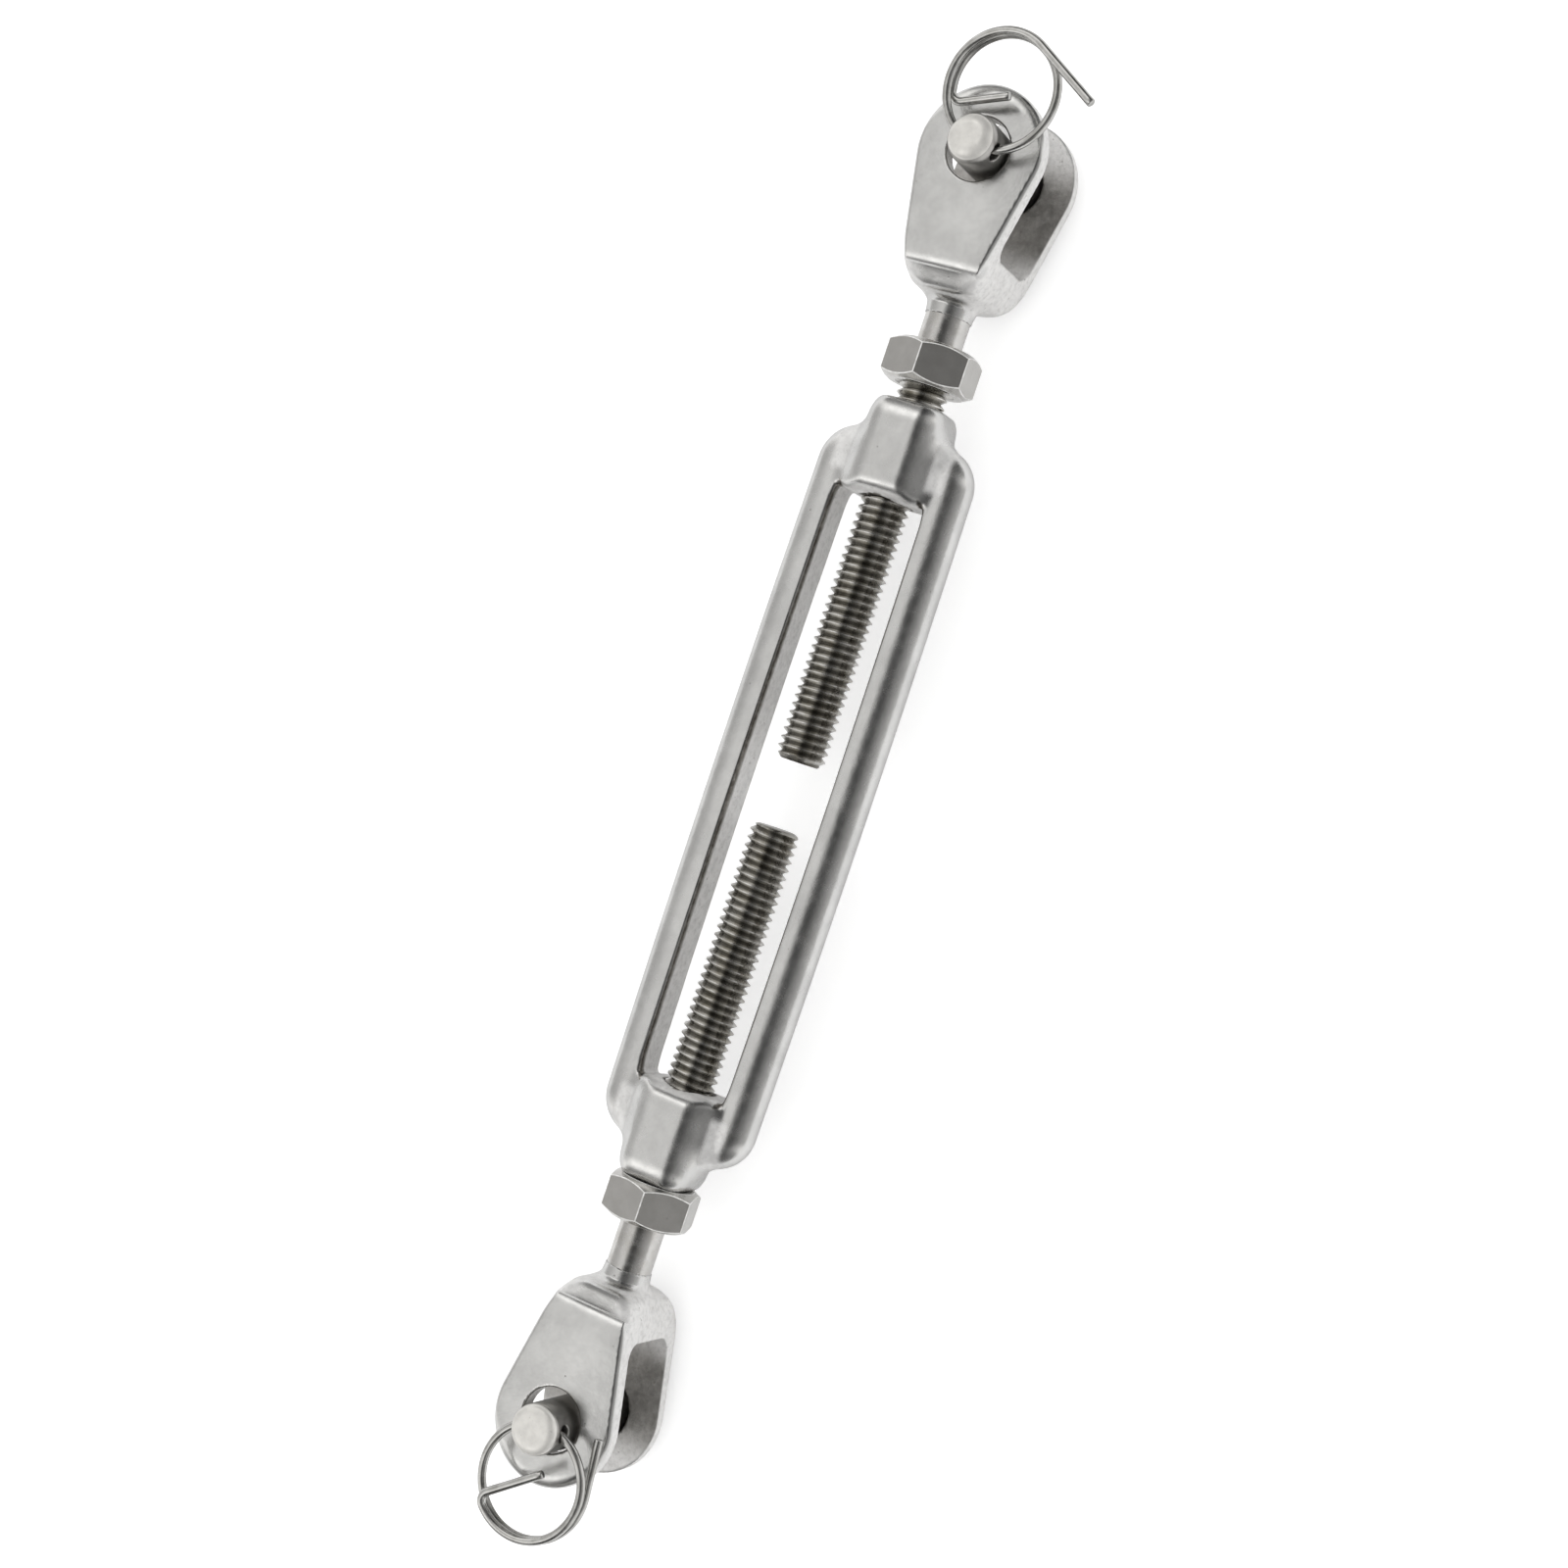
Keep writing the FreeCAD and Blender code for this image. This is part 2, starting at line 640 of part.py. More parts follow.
# ---------------------------------------------------------------- lock nuts
def lock_nut(side):
    """A lock nut with its own origin at its inner face, a corner towards +Z."""
    body = doc.addObject("PartDesign::Body", side + "_lock_nut")
    sk = sketch_in(body, side + "_nut_turn", "XY_Plane")
    outline(
        sk,
        [
            (0, "nut_mouth_half"),
            (0, "nut_face_half"),
            ("nut_slope", "nut_envelope"),
            ("nut_far_slope", "nut_envelope"),
            ("nut_height", "nut_face_half"),
            ("nut_height", "nut_mouth_half"),
            ("nut_far_mouth", "nut_bore_half"),
            ("nut_mouth", "nut_bore_half"),
        ],
    )
    turned(body, side + "_nut_body", sk, "X_Axis")
    sk = sketch_in(body, side + "_nut_hexagon", "YZ_Plane")
    outline(
        sk,
        [
            (0, "nut_corner"),
            ("-nut_flat_half", "nut_corner_half"),
            ("-nut_flat_half", "-nut_corner_half"),
            (0, "-nut_corner"),
            ("nut_flat_half", "-nut_corner_half"),
            ("nut_flat_half", "nut_corner_half"),
        ],
    )
    hole_circle(sk, "beyond")
    pocket_through(body, side + "_nut_flats_cut", sk)
    doc.recompute()
    return body


for side in ("rh", "lh"):
    nodes[side + "_lock_nut"] = lock_nut(side)
nodes["rh_lock_nut"].Placement = Placement(Vector(number("rh_nut_at"), 0, 0), Rotation(Vector(1, 0, 0), number("rh_nut_roll")))
nodes["rh_lock_nut"].setExpression("Placement.Base.x", "dims.rh_nut_at")
nodes["lh_lock_nut"].Placement = Placement(
    Vector(-number("lh_nut_at"), 0, 0), Rotation(Vector(1, 0, 0), number("lh_nut_roll")) * Rotation(Vector(0, 0, 1), 180)
)
nodes["lh_lock_nut"].setExpression("Placement.Base.x", "-dims.lh_nut_at")


# ---------------------------------------------------------------- clevis pins
def clevis_pin(side):
    """A clevis pin with its own origin on its axis at the screw axis, its cross hole along its own X."""
    body = doc.addObject("PartDesign::Body", side + "_clevis_pin")
    sk = sketch_in(body, side + "_pin_turn", "XZ_Plane")
    outline(
        sk,
        [
            (0, "-pin_head_low"),
            ("head_half_in", "-pin_head_low"),
            ("head_half", "-head_low_in"),
            ("head_half", "-head_top_in"),
            ("head_half_top", "-pin_head_top"),
            ("pin_half", "-pin_head_top"),
            ("pin_half", side + "_tip_in"),
            (side + "_tip_half", "pin_tip"),
            (0, "pin_tip"),
        ],
    )
    turned(body, side + "_pin_body", sk, "Z_Axis")
    sk = sketch_in(body, side + "_pin_cross", "YZ_Plane")
    hole_circle(sk, "cross_half")
    sk.setExpression("AttachmentOffset.Base.y", "dims.cross_hole_at")
    pocket_through(body, side + "_pin_cross_hole", sk)
    doc.recompute()
    return body


for side, sign in (("rh", 1), ("lh", -1)):
    nodes[side + "_clevis_pin"] = clevis_pin(side)
    nodes[side + "_clevis_pin"].Placement = Placement(
        Vector(sign * number("pin_reach") + number(side + "_pin_dx"), number(side + "_pin_dy"), 0),
        Rotation(Vector(0, 0, 1), number(side + "_pin_roll")),
    )
    nodes[side + "_clevis_pin"].setExpression(
        "Placement.Base.x", "%sdims.pin_reach+dims.%s_pin_dx" % ("" if sign > 0 else "-", side)
    )
    nodes[side + "_clevis_pin"].setExpression("Placement.Base.y", "dims.%s_pin_dy" % side)


# ---------------------------------------------------------------- split rings
def ring_path(side):
    """The wire's centre line in the ring's own frame: origin where it crosses the pin axis, X along the cross hole, the ring's middle towards +Y. A chord, a small hook, about one and a third turns and a straight tail, each tangent to the next."""
    radius, offset, climb = number("ring_radius"), number("ring_offset"), number("ring_climb")
    form = RING[side]
    sweep = form["stop"] - form["start"]
    coil = Part.makeHelix(climb, climb * sweep / 360.0, radius, 0, True)
    coil.Placement = Placement(
        Vector(0, offset, -climb * form["stop"] / 360.0), Rotation(Vector(0, 0, 1), form["stop"] - 90.0)
    )

    def at(a):
        a = math.radians(a)
        return Vector(radius * math.sin(a), offset - radius * math.cos(a), -climb * math.degrees(a) / 360.0)

    def along(a):
        t = Vector(radius * math.cos(math.radians(a)), radius * math.sin(math.radians(a)), -climb / (2 * math.pi))
        return t.normalize()

    tail = Part.makeLine(at(form["start"]), at(form["start"]) - along(form["start"]) * form["tail"])
    p, u = at(form["stop"]), along(form["stop"])
    w = Vector(0, offset, p.z) - p
    w.normalize()
    bend, turn = form["bend"], math.radians(form["turn"])
    c = p + w * bend
    bent = lambda t: c - w * (bend * math.cos(t)) + u * (bend * math.sin(t))
    hook = Part.Arc(p, bent(turn / 2), bent(turn)).toShape()
    out = u * math.cos(turn) + w * math.sin(turn)
    end = bent(turn) + out * form["chord"]
    chord = Part.makeLine(end, bent(turn))
    wire = Part.Wire(Part.__sortEdges__([chord, hook] + coil.Edges + [tail]))
    return wire, end, out * -1


RING = {
    "rh": {"start": -202.0, "stop": 292.0, "tail": 9.0, "bend": 1.2, "turn": 101.0, "chord": 5.8},
    "lh": {"start": -270.0, "stop": 232.0, "tail": 6.5, "bend": 1.15, "turn": 100.0, "chord": 7.4},
}


def split_ring(side):
    path = doc.addObject("Part::Feature", side + "_ring_path")
    path.Shape, end, along = ring_path(side)
    wire = doc.addObject("Part::Circle", side + "_ring_wire")
    wire.setExpression("Radius", "dims.wire_half")
    wire.Placement = Placement(end, Rotation(Vector(0, 0, 1), along))
    ring = doc.addObject("Part::Sweep", side + "_split_ring")
    ring.Sections = [wire]
    ring.Spine = (path, ["Edge%d" % (i + 1) for i in range(len(path.Shape.Edges))])
    ring.Solid = True
    ring.Frenet = False
    return ring


for side, sign in (("rh", 1), ("lh", -1)):
    nodes[side + "_split_ring"] = split_ring(side)
    turn = Rotation(Vector(0, 0, 1), number(side + "_pin_roll"))
    tilt = Rotation(Vector(1, 0, 0), number(side + "_ring_tilt"))
    # the left-hand ring lies the other way up, with its tail next to the ear
    flip = Rotation(Vector(0, 1, 0), 0 if side == "rh" else 180)
    nodes[side + "_split_ring"].Placement = Placement(
        Vector(sign * number("pin_reach") + number(side + "_pin_dx"), number(side + "_pin_dy"), number("cross_hole_at")),
        turn * tilt * flip,
    )
    nodes[side + "_split_ring"].setExpression(
        "Placement.Base.x", "%sdims.pin_reach+dims.%s_pin_dx" % ("" if sign > 0 else "-", side)
    )
    nodes[side + "_split_ring"].setExpression("Placement.Base.y", "dims.%s_pin_dy" % side)
    nodes[side + "_split_ring"].setExpression("Placement.Base.z", "dims.cross_hole_at")

# ---------------------------------------------------------------- checks and export
doc.recompute()
for name, obj in nodes.items():
    obj.Label = name
for o in doc.Objects:
    if "Invalid" in o.State or "Error" in o.State:
        raise RuntimeError("%s is %s" % (o.Name, o.State))
for name, obj in nodes.items():
    shape = obj.Shape
    if shape.isNull() or not shape.isValid():
        raise RuntimeError("%s has no valid shape" % name)
    if len(shape.Solids) != 1:
        raise RuntimeError("%s holds %d solids" % (name, len(shape.Solids)))
    b = shape.BoundBox
    print(
        "%-16s volume %9.2f mm3  x %7.2f %7.2f  y %7.2f %7.2f  z %7.2f %7.2f"
        % (name, shape.Volume, b.XMin, b.XMax, b.YMin, b.YMax, b.ZMin, b.ZMax)
    )


def less(cut, before):
    """A cut that took nothing away is an error."""
    if not cut.Shape.Volume < before - 0.01:
        raise RuntimeError("%s took nothing away" % cut.Name)


for side in ("rh", "lh"):
    less(nodes[side + "_screw"], doc.getObject(side + "_screw_blank").Shape.Volume - 230)
    less(doc.getObject(side + "_fork_gap_cut"), doc.getObject(side + "_fork_edges").Shape.Volume - 500)
    less(doc.getObject(side + "_fork_eye_cut"), doc.getObject(side + "_fork_gap_cut").Shape.Volume - 200)
    less(doc.getObject(side + "_nut_flats_cut"), doc.getObject(side + "_nut_body").Shape.Volume - 20)
    less(doc.getObject(side + "_pin_cross_hole"), doc.getObject(side + "_pin_body").Shape.Volume - 15)
less(doc.getObject("frame_bore_cut_rh"), doc.getObject("frame_boss_round").Shape.Volume - 300)
less(doc.getObject("frame_bore_cut_lh"), doc.getObject("frame_bore_cut_rh").Shape.Volume - 300)

for name, obj in nodes.items():
    obj.Shape.exportStep(os.path.join("parts", name + ".step"))
print("exported", len(nodes), "pieces")
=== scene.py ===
"""A rigging-screw turnbuckle: an open body with two threaded studs, lock nuts, and forks
closed by clevis pins with split rings.

+X runs along the screw axis towards the right-hand thread, +Z along the clevis pins towards
the rings. Pieces are built in millimetres; materials, lamp and floor extent are in metres.
"""
import math

import bmesh
import bpy
import numpy as np
from mathutils import Matrix, Vector


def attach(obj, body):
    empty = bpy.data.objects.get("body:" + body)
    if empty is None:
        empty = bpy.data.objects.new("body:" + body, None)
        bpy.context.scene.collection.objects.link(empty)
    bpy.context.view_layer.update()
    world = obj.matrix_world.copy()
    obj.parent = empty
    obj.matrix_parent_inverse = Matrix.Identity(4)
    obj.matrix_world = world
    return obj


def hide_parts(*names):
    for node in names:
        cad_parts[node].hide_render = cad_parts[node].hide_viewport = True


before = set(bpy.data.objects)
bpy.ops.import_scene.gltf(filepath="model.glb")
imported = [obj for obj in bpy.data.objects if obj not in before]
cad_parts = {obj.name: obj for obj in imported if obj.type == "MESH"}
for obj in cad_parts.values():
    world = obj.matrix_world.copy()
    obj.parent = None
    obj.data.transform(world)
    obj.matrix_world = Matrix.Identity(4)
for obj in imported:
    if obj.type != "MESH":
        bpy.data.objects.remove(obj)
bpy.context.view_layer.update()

MM = 0.001

# places along the screw axis
PIN_X = 76.0  # fork hole
STUD_TIP = 4.0
FORK_BACK = 18.0  # fork hole to the end of its neck
NECK_R = 2.7  # plain end of the stud and neck of the fork
CROSS_HOLE_Z = 9.9  # the pin's hole for the ring
FLOOR_Z = -9.47

# body, as half sizes
RAIL_X, RAIL_Y, RAIL_Z, RAIL_CORNER = 43.7, 10.1, 2.6, 4.8
BOW, BOW_X = 0.28, 38.9  # the sides draw in by BOW at BOW_X
WINDOW_X, WINDOW_Y, WINDOW_CORNER = 36.6, 6.0, 0.95
BOSS_X, BOSS_SIDE, BOSS_SWELL, BOSS_CORNER = 47.3, 4.76, 0.16, 2.7
BOSS_CROWN = 0.011  # curvature of the boss faces
BORE_R, BORE_FLARE_X = 3.06, 46.9

# fork, with the hole at the origin and the neck towards -X
EAR_R, EAR_Z, EAR_CROWN, EAR_BACK = 7.7, 7.55, 0.009, 13.8
EAR_FOOT_X, EAR_FOOT_Y = 13.4, 5.1  # where the ears' straight flanks end
BLOCK_Y, BLOCK_Z, BLOCK_BACK, BLOCK_FRONT = 5.3, 6.7, 16.0, 10.0
GAP_X, GAP_HALF_X, GAP_Z, GAP_CORNER = 9.0, 20.0, 5.05, 1.8
FORK_HOLE_R = 3.75

# clevis pin, along Z
PIN_R, PIN_TOP, PIN_ROOT = 2.95, 12.35, 9.0
HEAD_R, HEAD_TOP, HEAD_BOTTOM = 4.5, -7.65, -9.45
CROSS_HOLE_R = 1.0

# ------------------------------------------------------------------ distance fields


def join(one, other, r):
    """Union with a concave fillet of radius r."""
    return np.maximum(np.minimum(one, other), r) - np.hypot(
        np.maximum(r - one, 0), np.maximum(r - other, 0))


def meet(one, other, r):
    """Intersection with a convex round of radius r."""
    return np.minimum(np.maximum(one, other), -r) + np.hypot(
        np.maximum(r + one, 0), np.maximum(r + other, 0))


def meet_oval(one, other, deep_one, deep_other):
    """Intersection with an elliptical round, given its depth along each normal."""
    return meet(one * (deep_other / deep_one), other, deep_other)


def rounded_box(x, y, half_x, half_y, r):
    """Rounded rectangle in a plane."""
    out_x, out_y = np.abs(x) - half_x + r, np.abs(y) - half_y + r
    outside = np.hypot(np.maximum(out_x, 0), np.maximum(out_y, 0))
    return outside + np.minimum(np.maximum(out_x, out_y), 0) - r


def smooth(value, start, end):
    """S-curve from 0 at start to 1 at end; it falls along the axis if end is below start."""
    t = np.clip((value - start) / (end - start), 0, 1)
    return t * t * (3 - 2 * t)


def body_field(x, y, z):
    ax, ay, az = np.abs(x), np.abs(y), np.abs(z)
    # rails and shoulders: a plate with a bowed outline and a window
    bowed_y = ay + BOW * (x / BOW_X) ** 2
    plate = rounded_box(x, bowed_y, RAIL_X, RAIL_Y, RAIL_CORNER)
    window = rounded_box(x, bowed_y, WINDOW_X, WINDOW_Y, WINDOW_CORNER)
    rails = meet_oval(plate, az - RAIL_Z, 3.0, 2.45)
    rails = meet(rails, -window, 0.4)
    # square bosses, a little fuller at the window end
    side = BOSS_SIDE + BOSS_SWELL * np.clip((BOSS_X - ax) / (BOSS_X - WINDOW_X), 0, 1)
    section = rounded_box(
        ay + BOSS_CROWN * z * z, az + BOSS_CROWN * y * y, side, side, BOSS_CORNER)
    boss = meet_oval(ax - BOSS_X, section, 2.6, 1.25)
    boss = meet_oval(WINDOW_X - ax, boss, 1.9, 0.8)
    bore = np.hypot(y, z) - BORE_R - np.maximum(0, ax - BORE_FLARE_X)
    return meet(join(rails, boss, 2.0), -bore, 0.18)


def body_marks(points, normals):
    """Vertex marks: "raw" for the as-cast skin, and a second mark for painted shade."""
    ax, ay = np.abs(points[:, :2]).T
    z = points[:, 2]
    nx, nz = np.abs(normals[:, 0]), np.abs(normals[:, 2])
    # raw: the window's flanks, its two ends, part of the boss ends, and the shoulders
    # beside the bosses
    flank = smooth(nz, 0.62, 0.3) * (ay < 6.6) * (ax < 36.8)
    crook = smooth(ax, 35.0, 36.6) * (ax < 37.2) * (ay < 6.6) * smooth(nz, 0.8, 0.4)
    ends = 0.6 * smooth(nx, 0.75, 0.97) * (ax > 46.5)
    nook = 0.75 * smooth(ax, 37.3, 38.3) * smooth(ax, 44.0, 42.8)
    nook = nook * smooth(ay, 4.9, 5.5) * smooth(ay, 7.6, 6.8)
    raw = np.maximum(np.maximum(flank, ends), np.maximum(crook, nook))
    # painted shade: a darker colour in the bore and along the upper edge of the window's sides
    edge = smooth(z, 1.55, 1.9) * smooth(nz, 0.93, 0.8)
    edge = edge * (ay < 6.7) * (ay > 4.9) * (ax < 36.7)
    bore = (np.hypot(points[:, 1], z) < 3.3).astype(float)
    return np.clip(raw, 0, 1), np.maximum(bore, edge)


# normal of the straight flank from the foot of the ears, tangent to their round end
FLANK_TURN = math.atan2(EAR_FOOT_Y, EAR_FOOT_X) + math.acos(
    EAR_R / math.hypot(EAR_FOOT_X, EAR_FOOT_Y))
FLANK_X, FLANK_Y = -math.cos(FLANK_TURN), math.sin(FLANK_TURN)


def fork_block(x, ay, az):
    """The base block, with chamfers towards the neck."""
    taper = 0.08 * np.maximum(0, -x - 13.0) ** 2
    block = meet(ay - BLOCK_Y, az - BLOCK_Z + taper, 0.9)
    block = meet(block, (ay - x - 19.7) / math.sqrt(2), 1.4)
    block = meet(block, (az - x - 21.4) / math.sqrt(2), 2.0)
    block = meet(-x - BLOCK_BACK, block, 0.8)
    return np.maximum(block, x + BLOCK_FRONT)


def fork_gap(x, z):
    return rounded_box(x - GAP_X, z, GAP_HALF_X, GAP_Z, GAP_CORNER)


def fork_field(x, y, z):
    ay, az = np.abs(y), np.abs(z)
    plan = np.where(
        x * FLANK_Y - ay * FLANK_X > 0, np.hypot(x, y) - EAR_R, x * FLANK_X + ay * FLANK_Y - EAR_R)
    rim = 0.6 + 1.1 * smooth(x, 0.5, 6.5)  # the round grows towards the tip
    ears = meet_oval(plan, az - EAR_Z + EAR_CROWN * ay * ay, rim, 0.8)
    ears = meet_oval(-x - EAR_BACK, ears, 3.5, 0.95)
    fork = join(ears, fork_block(x, ay, az), 0.3)
    neck = np.maximum(np.hypot(y, z) - NECK_R, x + 12.0)
    fork = np.maximum(join(fork, neck, 1.7), -x - FORK_BACK)
    fork = meet(fork, -fork_gap(x, z), 0.28)
    return meet(fork, FORK_HOLE_R - np.hypot(x, y), 0.22)


def fork_marks(points, normals):
    """Ear faces are polished; flanks, base block and gap are raw, and the gap gets painted shade.
    """
    x, y, z = points.T
    flank = smooth(np.abs(normals[:, 2]), 0.4, 0.15)
    base = smooth(x, -13.5, -13.9) * smooth(np.abs(y), 1.4, 4.8)
    neck = smooth(x, -16.6, -17.6)
    inside = (1 - smooth(fork_gap(x, z), 0.03, 0.14)) * (x > -11.3)
    raw = np.maximum(np.maximum(flank, base) * (1 - 0.75 * neck), inside)
    hole = np.abs(np.hypot(x, y) - FORK_HOLE_R) < 0.12
    # painted shade in the gap: faint throughout, darkest from the hole's middle back towards the
    # base
    painted_shade = inside * (0.02 + 0.63 * smooth(x, 5.0, -0.5) * smooth(x, -10.5, -6.5))
    return np.clip(raw * (1 - 0.8 * hole), 0, 1), np.clip(painted_shade, 0, 1)


def pin_field(bevel):
    def field(x, y, z):
        rho = np.hypot(x, y)
        shaft = meet(rho - PIN_R, (rho - PIN_R + z - PIN_TOP + bevel) / math.sqrt(2), 0.5)
        shaft = meet(shaft, z - PIN_TOP, 0.45)
        head = meet(meet(rho - HEAD_R, z - HEAD_TOP, 0.2), HEAD_BOTTOM - z, 0.4)
        pin = join(np.maximum(shaft, -z - PIN_ROOT), head, 0.12)
        return meet(pin, CROSS_HOLE_R - np.hypot(y, z - CROSS_HOLE_Z), 0.16)

    return field


# ------------------------------------------------------------------ fields to meshes
AROUND_EDGE = ((0, 0), (1, 0), (1, 1), (0, 1))  # steps back to the four cells at a grid edge


def gradient(field, points, step):
    slope = np.empty_like(points)
    for axis in range(3):
        shift = np.zeros(3)
        shift[axis] = step
        change = field(*(points + shift).T) - field(*(points - shift).T)
        slope[:, axis] = change / (2 * step)
    return slope


def cells_beside(edges, axis, back):
    cells = edges.copy()
    cells[:, (axis + 1) % 3] -= back[0]
    cells[:, (axis + 2) % 3] -= back[1]
    return cells


def surface(field, low, high, step):
    """Vertices, quads and normals of the surface field = 0, one vertex to a grid cell."""
    counts = [int(math.ceil((h - l) / step)) + 1 for l, h in zip(low, high)]
    axes = [start + step * np.arange(count) for start, count in zip(low, counts)]
    grid = field(*np.meshgrid(*axes, indexing="ij"))
    inside = grid < -1e-7
    cells = [count - 1 for count in counts]
    total, hits = np.zeros(cells + [3]), np.zeros(cells)
    crossings = []
    for axis in range(3):
        near, far = [slice(None)] * 3, [slice(None)] * 3
        near[axis], far[axis] = slice(0, -1), slice(1, None)
        near, far = tuple(near), tuple(far)
        crossed = inside[near] != inside[far]
        edges = np.argwhere(crossed)
        value = grid[near][crossed]
        place = edges.astype(float)
        place[:, axis] += value / (value - grid[far][crossed])
        crossings.append((axis, edges, inside[near][crossed]))
        for back in AROUND_EDGE:
            cell = cells_beside(edges, axis, back)
            valid = ((cell >= 0) & (cell < np.array(cells))).all(1)
            index = tuple(cell[valid].T)
            np.add.at(total, index, place[valid])
            np.add.at(hits, index, 1)
    used = hits > 0
    number = -np.ones(cells, int)
    number[used] = np.arange(used.sum())
    points = total[used] / hits[used][:, None] * step + np.array(low)
    quads = []
    for axis, edges, leaving in crossings:
        quad = np.stack(
            [number[tuple(cells_beside(edges, axis, back).T)] for back in AROUND_EDGE], 1)
        quad[~leaving] = quad[~leaving][:, ::-1]
        quads.append(quad)
    # pull the vertices onto the surface, by limited Newton steps
    for _ in range(4):
        slope = gradient(field, points, 0.01)
        scale = field(*points.T) / np.maximum((slope * slope).sum(1), 0.25)
        move = slope * scale[:, None]
        length = np.linalg.norm(move, axis=1)
        points -= move * np.minimum(1, 0.35 * step / np.maximum(length, 1e-12))[:, None]
    slope = gradient(field, points, 0.02)
    normals = slope / np.maximum(np.linalg.norm(slope, axis=1), 1e-9)[:, None]
    return points, np.concatenate(quads), normals


def add_object(name, data):
    thing = bpy.data.objects.new(name, data)
    bpy.context.scene.collection.objects.link(thing)
    return thing


def to_mesh(name, points, faces, normals=None, place=Matrix.Identity(4), marks=()):
    """An object from millimetre points, with smooth faces and optional normals and marks."""
    matrix = np.array(place)
    points = points @ matrix[:3, :3].T + matrix[:3, 3]
    mesh = bpy.data.meshes.new(name)
    mesh.from_pydata((points * MM).tolist(), [], [tuple(int(i) for i in face) for face in faces])
    mesh.validate()
    mesh.update()
    mesh.polygons.foreach_set("use_smooth", [True] * len(mesh.polygons))
    if normals is not None:
        mesh.normals_split_custom_set_from_vertices((normals @ matrix[:3, :3].T).tolist())
    # the second mark carries painted shade
    for label, values in zip(("raw", "painted_shade"), marks):
        attribute = mesh.attributes.new(label, "FLOAT", "POINT")
        attribute.data.foreach_set("value", values.astype(np.float32))
    return add_object(name, mesh)


def dress(piece, body, node, material):
    piece.data.materials.clear()
    piece.data.materials.append(material)
    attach(piece, body)
    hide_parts(node)


def tidy(piece, merge):
    """Merges doubled points, closes open ends and turns every face outwards."""
    bm = bmesh.new()
    bm.from_mesh(piece.data)
    bmesh.ops.remove_doubles(bm, verts=bm.verts, dist=merge)
    bmesh.ops.dissolve_degenerate(bm, dist=merge * 0.5, edges=bm.edges)
    loose = [vert for vert in bm.verts if not vert.link_faces]
    bmesh.ops.delete(bm, geom=loose, context="VERTS")
    edges = [edge for edge in bm.edges if edge.is_boundary]
    if edges:
        bmesh.ops.holes_fill(bm, edges=edges, sides=0)
    bmesh.ops.recalc_face_normals(bm, faces=bm.faces)
    bm.to_mesh(piece.data)
    bm.free()
    piece.data.update()


def sharpen(piece, degrees):
    """Smooth faces, with edges sharper than this kept hard."""
    piece.data.polygons.foreach_set("use_smooth", [True] * len(piece.data.polygons))
    piece.data.set_sharp_from_angle(angle=math.radians(degrees))


# ------------------------------------------------------------------ shader nodes


class Nodes:
    """Short ways to add nodes to a tree. Values may be sockets, numbers or RGB tuples."""

    def __init__(self, tree, coordinates):
        self.tree = tree
        if coordinates:
            self.at = self.node("ShaderNodeTexCoord").outputs[coordinates]

    def node(self, kind, **inputs):
        node = self.tree.nodes.new(kind)
        for socket, value in inputs.items():
            self.put(node, socket, value)
        return node

    def put(self, node, socket, value):
        if isinstance(value, bpy.types.NodeSocket):
            self.tree.links.new(value, node.inputs[socket])
        else:
            node.inputs[socket].default_value = value

    def color(self, value):
        return value if isinstance(value, bpy.types.NodeSocket) else (*value, 1)

    def xyz(self):
        return self.node("ShaderNodeSeparateXYZ", Vector=self.at).outputs

    def mark(self, label):
        node = self.node("ShaderNodeAttribute")
        node.attribute_name = label
        return node.outputs["Fac"]

    def noise(self, scale, detail=3.0, rough=0.55, stretch=None):
        where = self.at
        if stretch:
            mapping = self.node("ShaderNodeMapping", Vector=where, Scale=stretch)
            where = mapping.outputs[0]
        return self.node(
            "ShaderNodeTexNoise", Vector=where, Scale=scale, Detail=detail, Roughness=rough,
        ).outputs["Fac"]

    def voronoi(self, scale):
        return self.node(
            "ShaderNodeTexVoronoi", Vector=self.at, Scale=scale, Randomness=1.0,
        ).outputs["Distance"]

    def ramp(self, fac, stops, interpolation="EASE"):
        """Stops are (position, grey or RGB)."""
        node = self.node("ShaderNodeValToRGB")
        node.color_ramp.interpolation = interpolation
        elements = node.color_ramp.elements
        while len(elements) < len(stops):
            elements.new(0.5)
        for element, (position, value) in zip(elements, stops):
            element.position = position
            element.color = (*value, 1) if isinstance(value, tuple) else (value, value, value, 1)
        self.put(node, 0, fac)
        return node.outputs[0]

    def spread(self, noise, low, high):
        """The middle of a noise, stretched from low to high."""
        return self.ramp(noise, [(0.3, low), (0.7, high)])

    def specks(self, noise, full, gone, strength):
        """Spots where the noise is lowest: whole up to full, faded out at gone."""
        spots = self.ramp(noise, [(0.0, 1.0), (full, 1.0), (gone, 0.0)])
        return self.calc("MULTIPLY", spots, strength)

    def calc(self, operation, *values):
        node = self.node("ShaderNodeMath")
        node.operation = operation
        for i, value in enumerate(values):
            self.put(node, i, value)
        return node.outputs[0]

    def mix(self, fac, one, other, blend="MIX"):
        node = self.node("ShaderNodeMix")
        node.data_type = "RGBA"
        node.blend_type = blend
        self.put(node, 0, fac)
        self.put(node, 6, self.color(one))
        self.put(node, 7, self.color(other))
        return node.outputs[2]

    def mix_normals(self, fac, one, other):
        node = self.node("ShaderNodeMix")
        node.data_type = "VECTOR"
        for socket, value in ((0, fac), (4, one), (5, other)):
            self.put(node, socket, value)
        return node.outputs[1]

    def bump(self, height, distance, strength=1.0, below=None):
        node = self.node("ShaderNodeBump", Height=height, Strength=strength, Distance=distance)
        if below is not None:
            self.put(node, "Normal", below)
        return node.outputs[0]

    def relief(self, *layers):
        """Stacked noise bumps. Layers are (scale, detail, roughness, depth in metres)."""
        normal = None
        for scale, detail, rough, depth in layers:
            normal = self.bump(self.noise(scale, detail, rough), distance=depth, below=normal)
        return normal


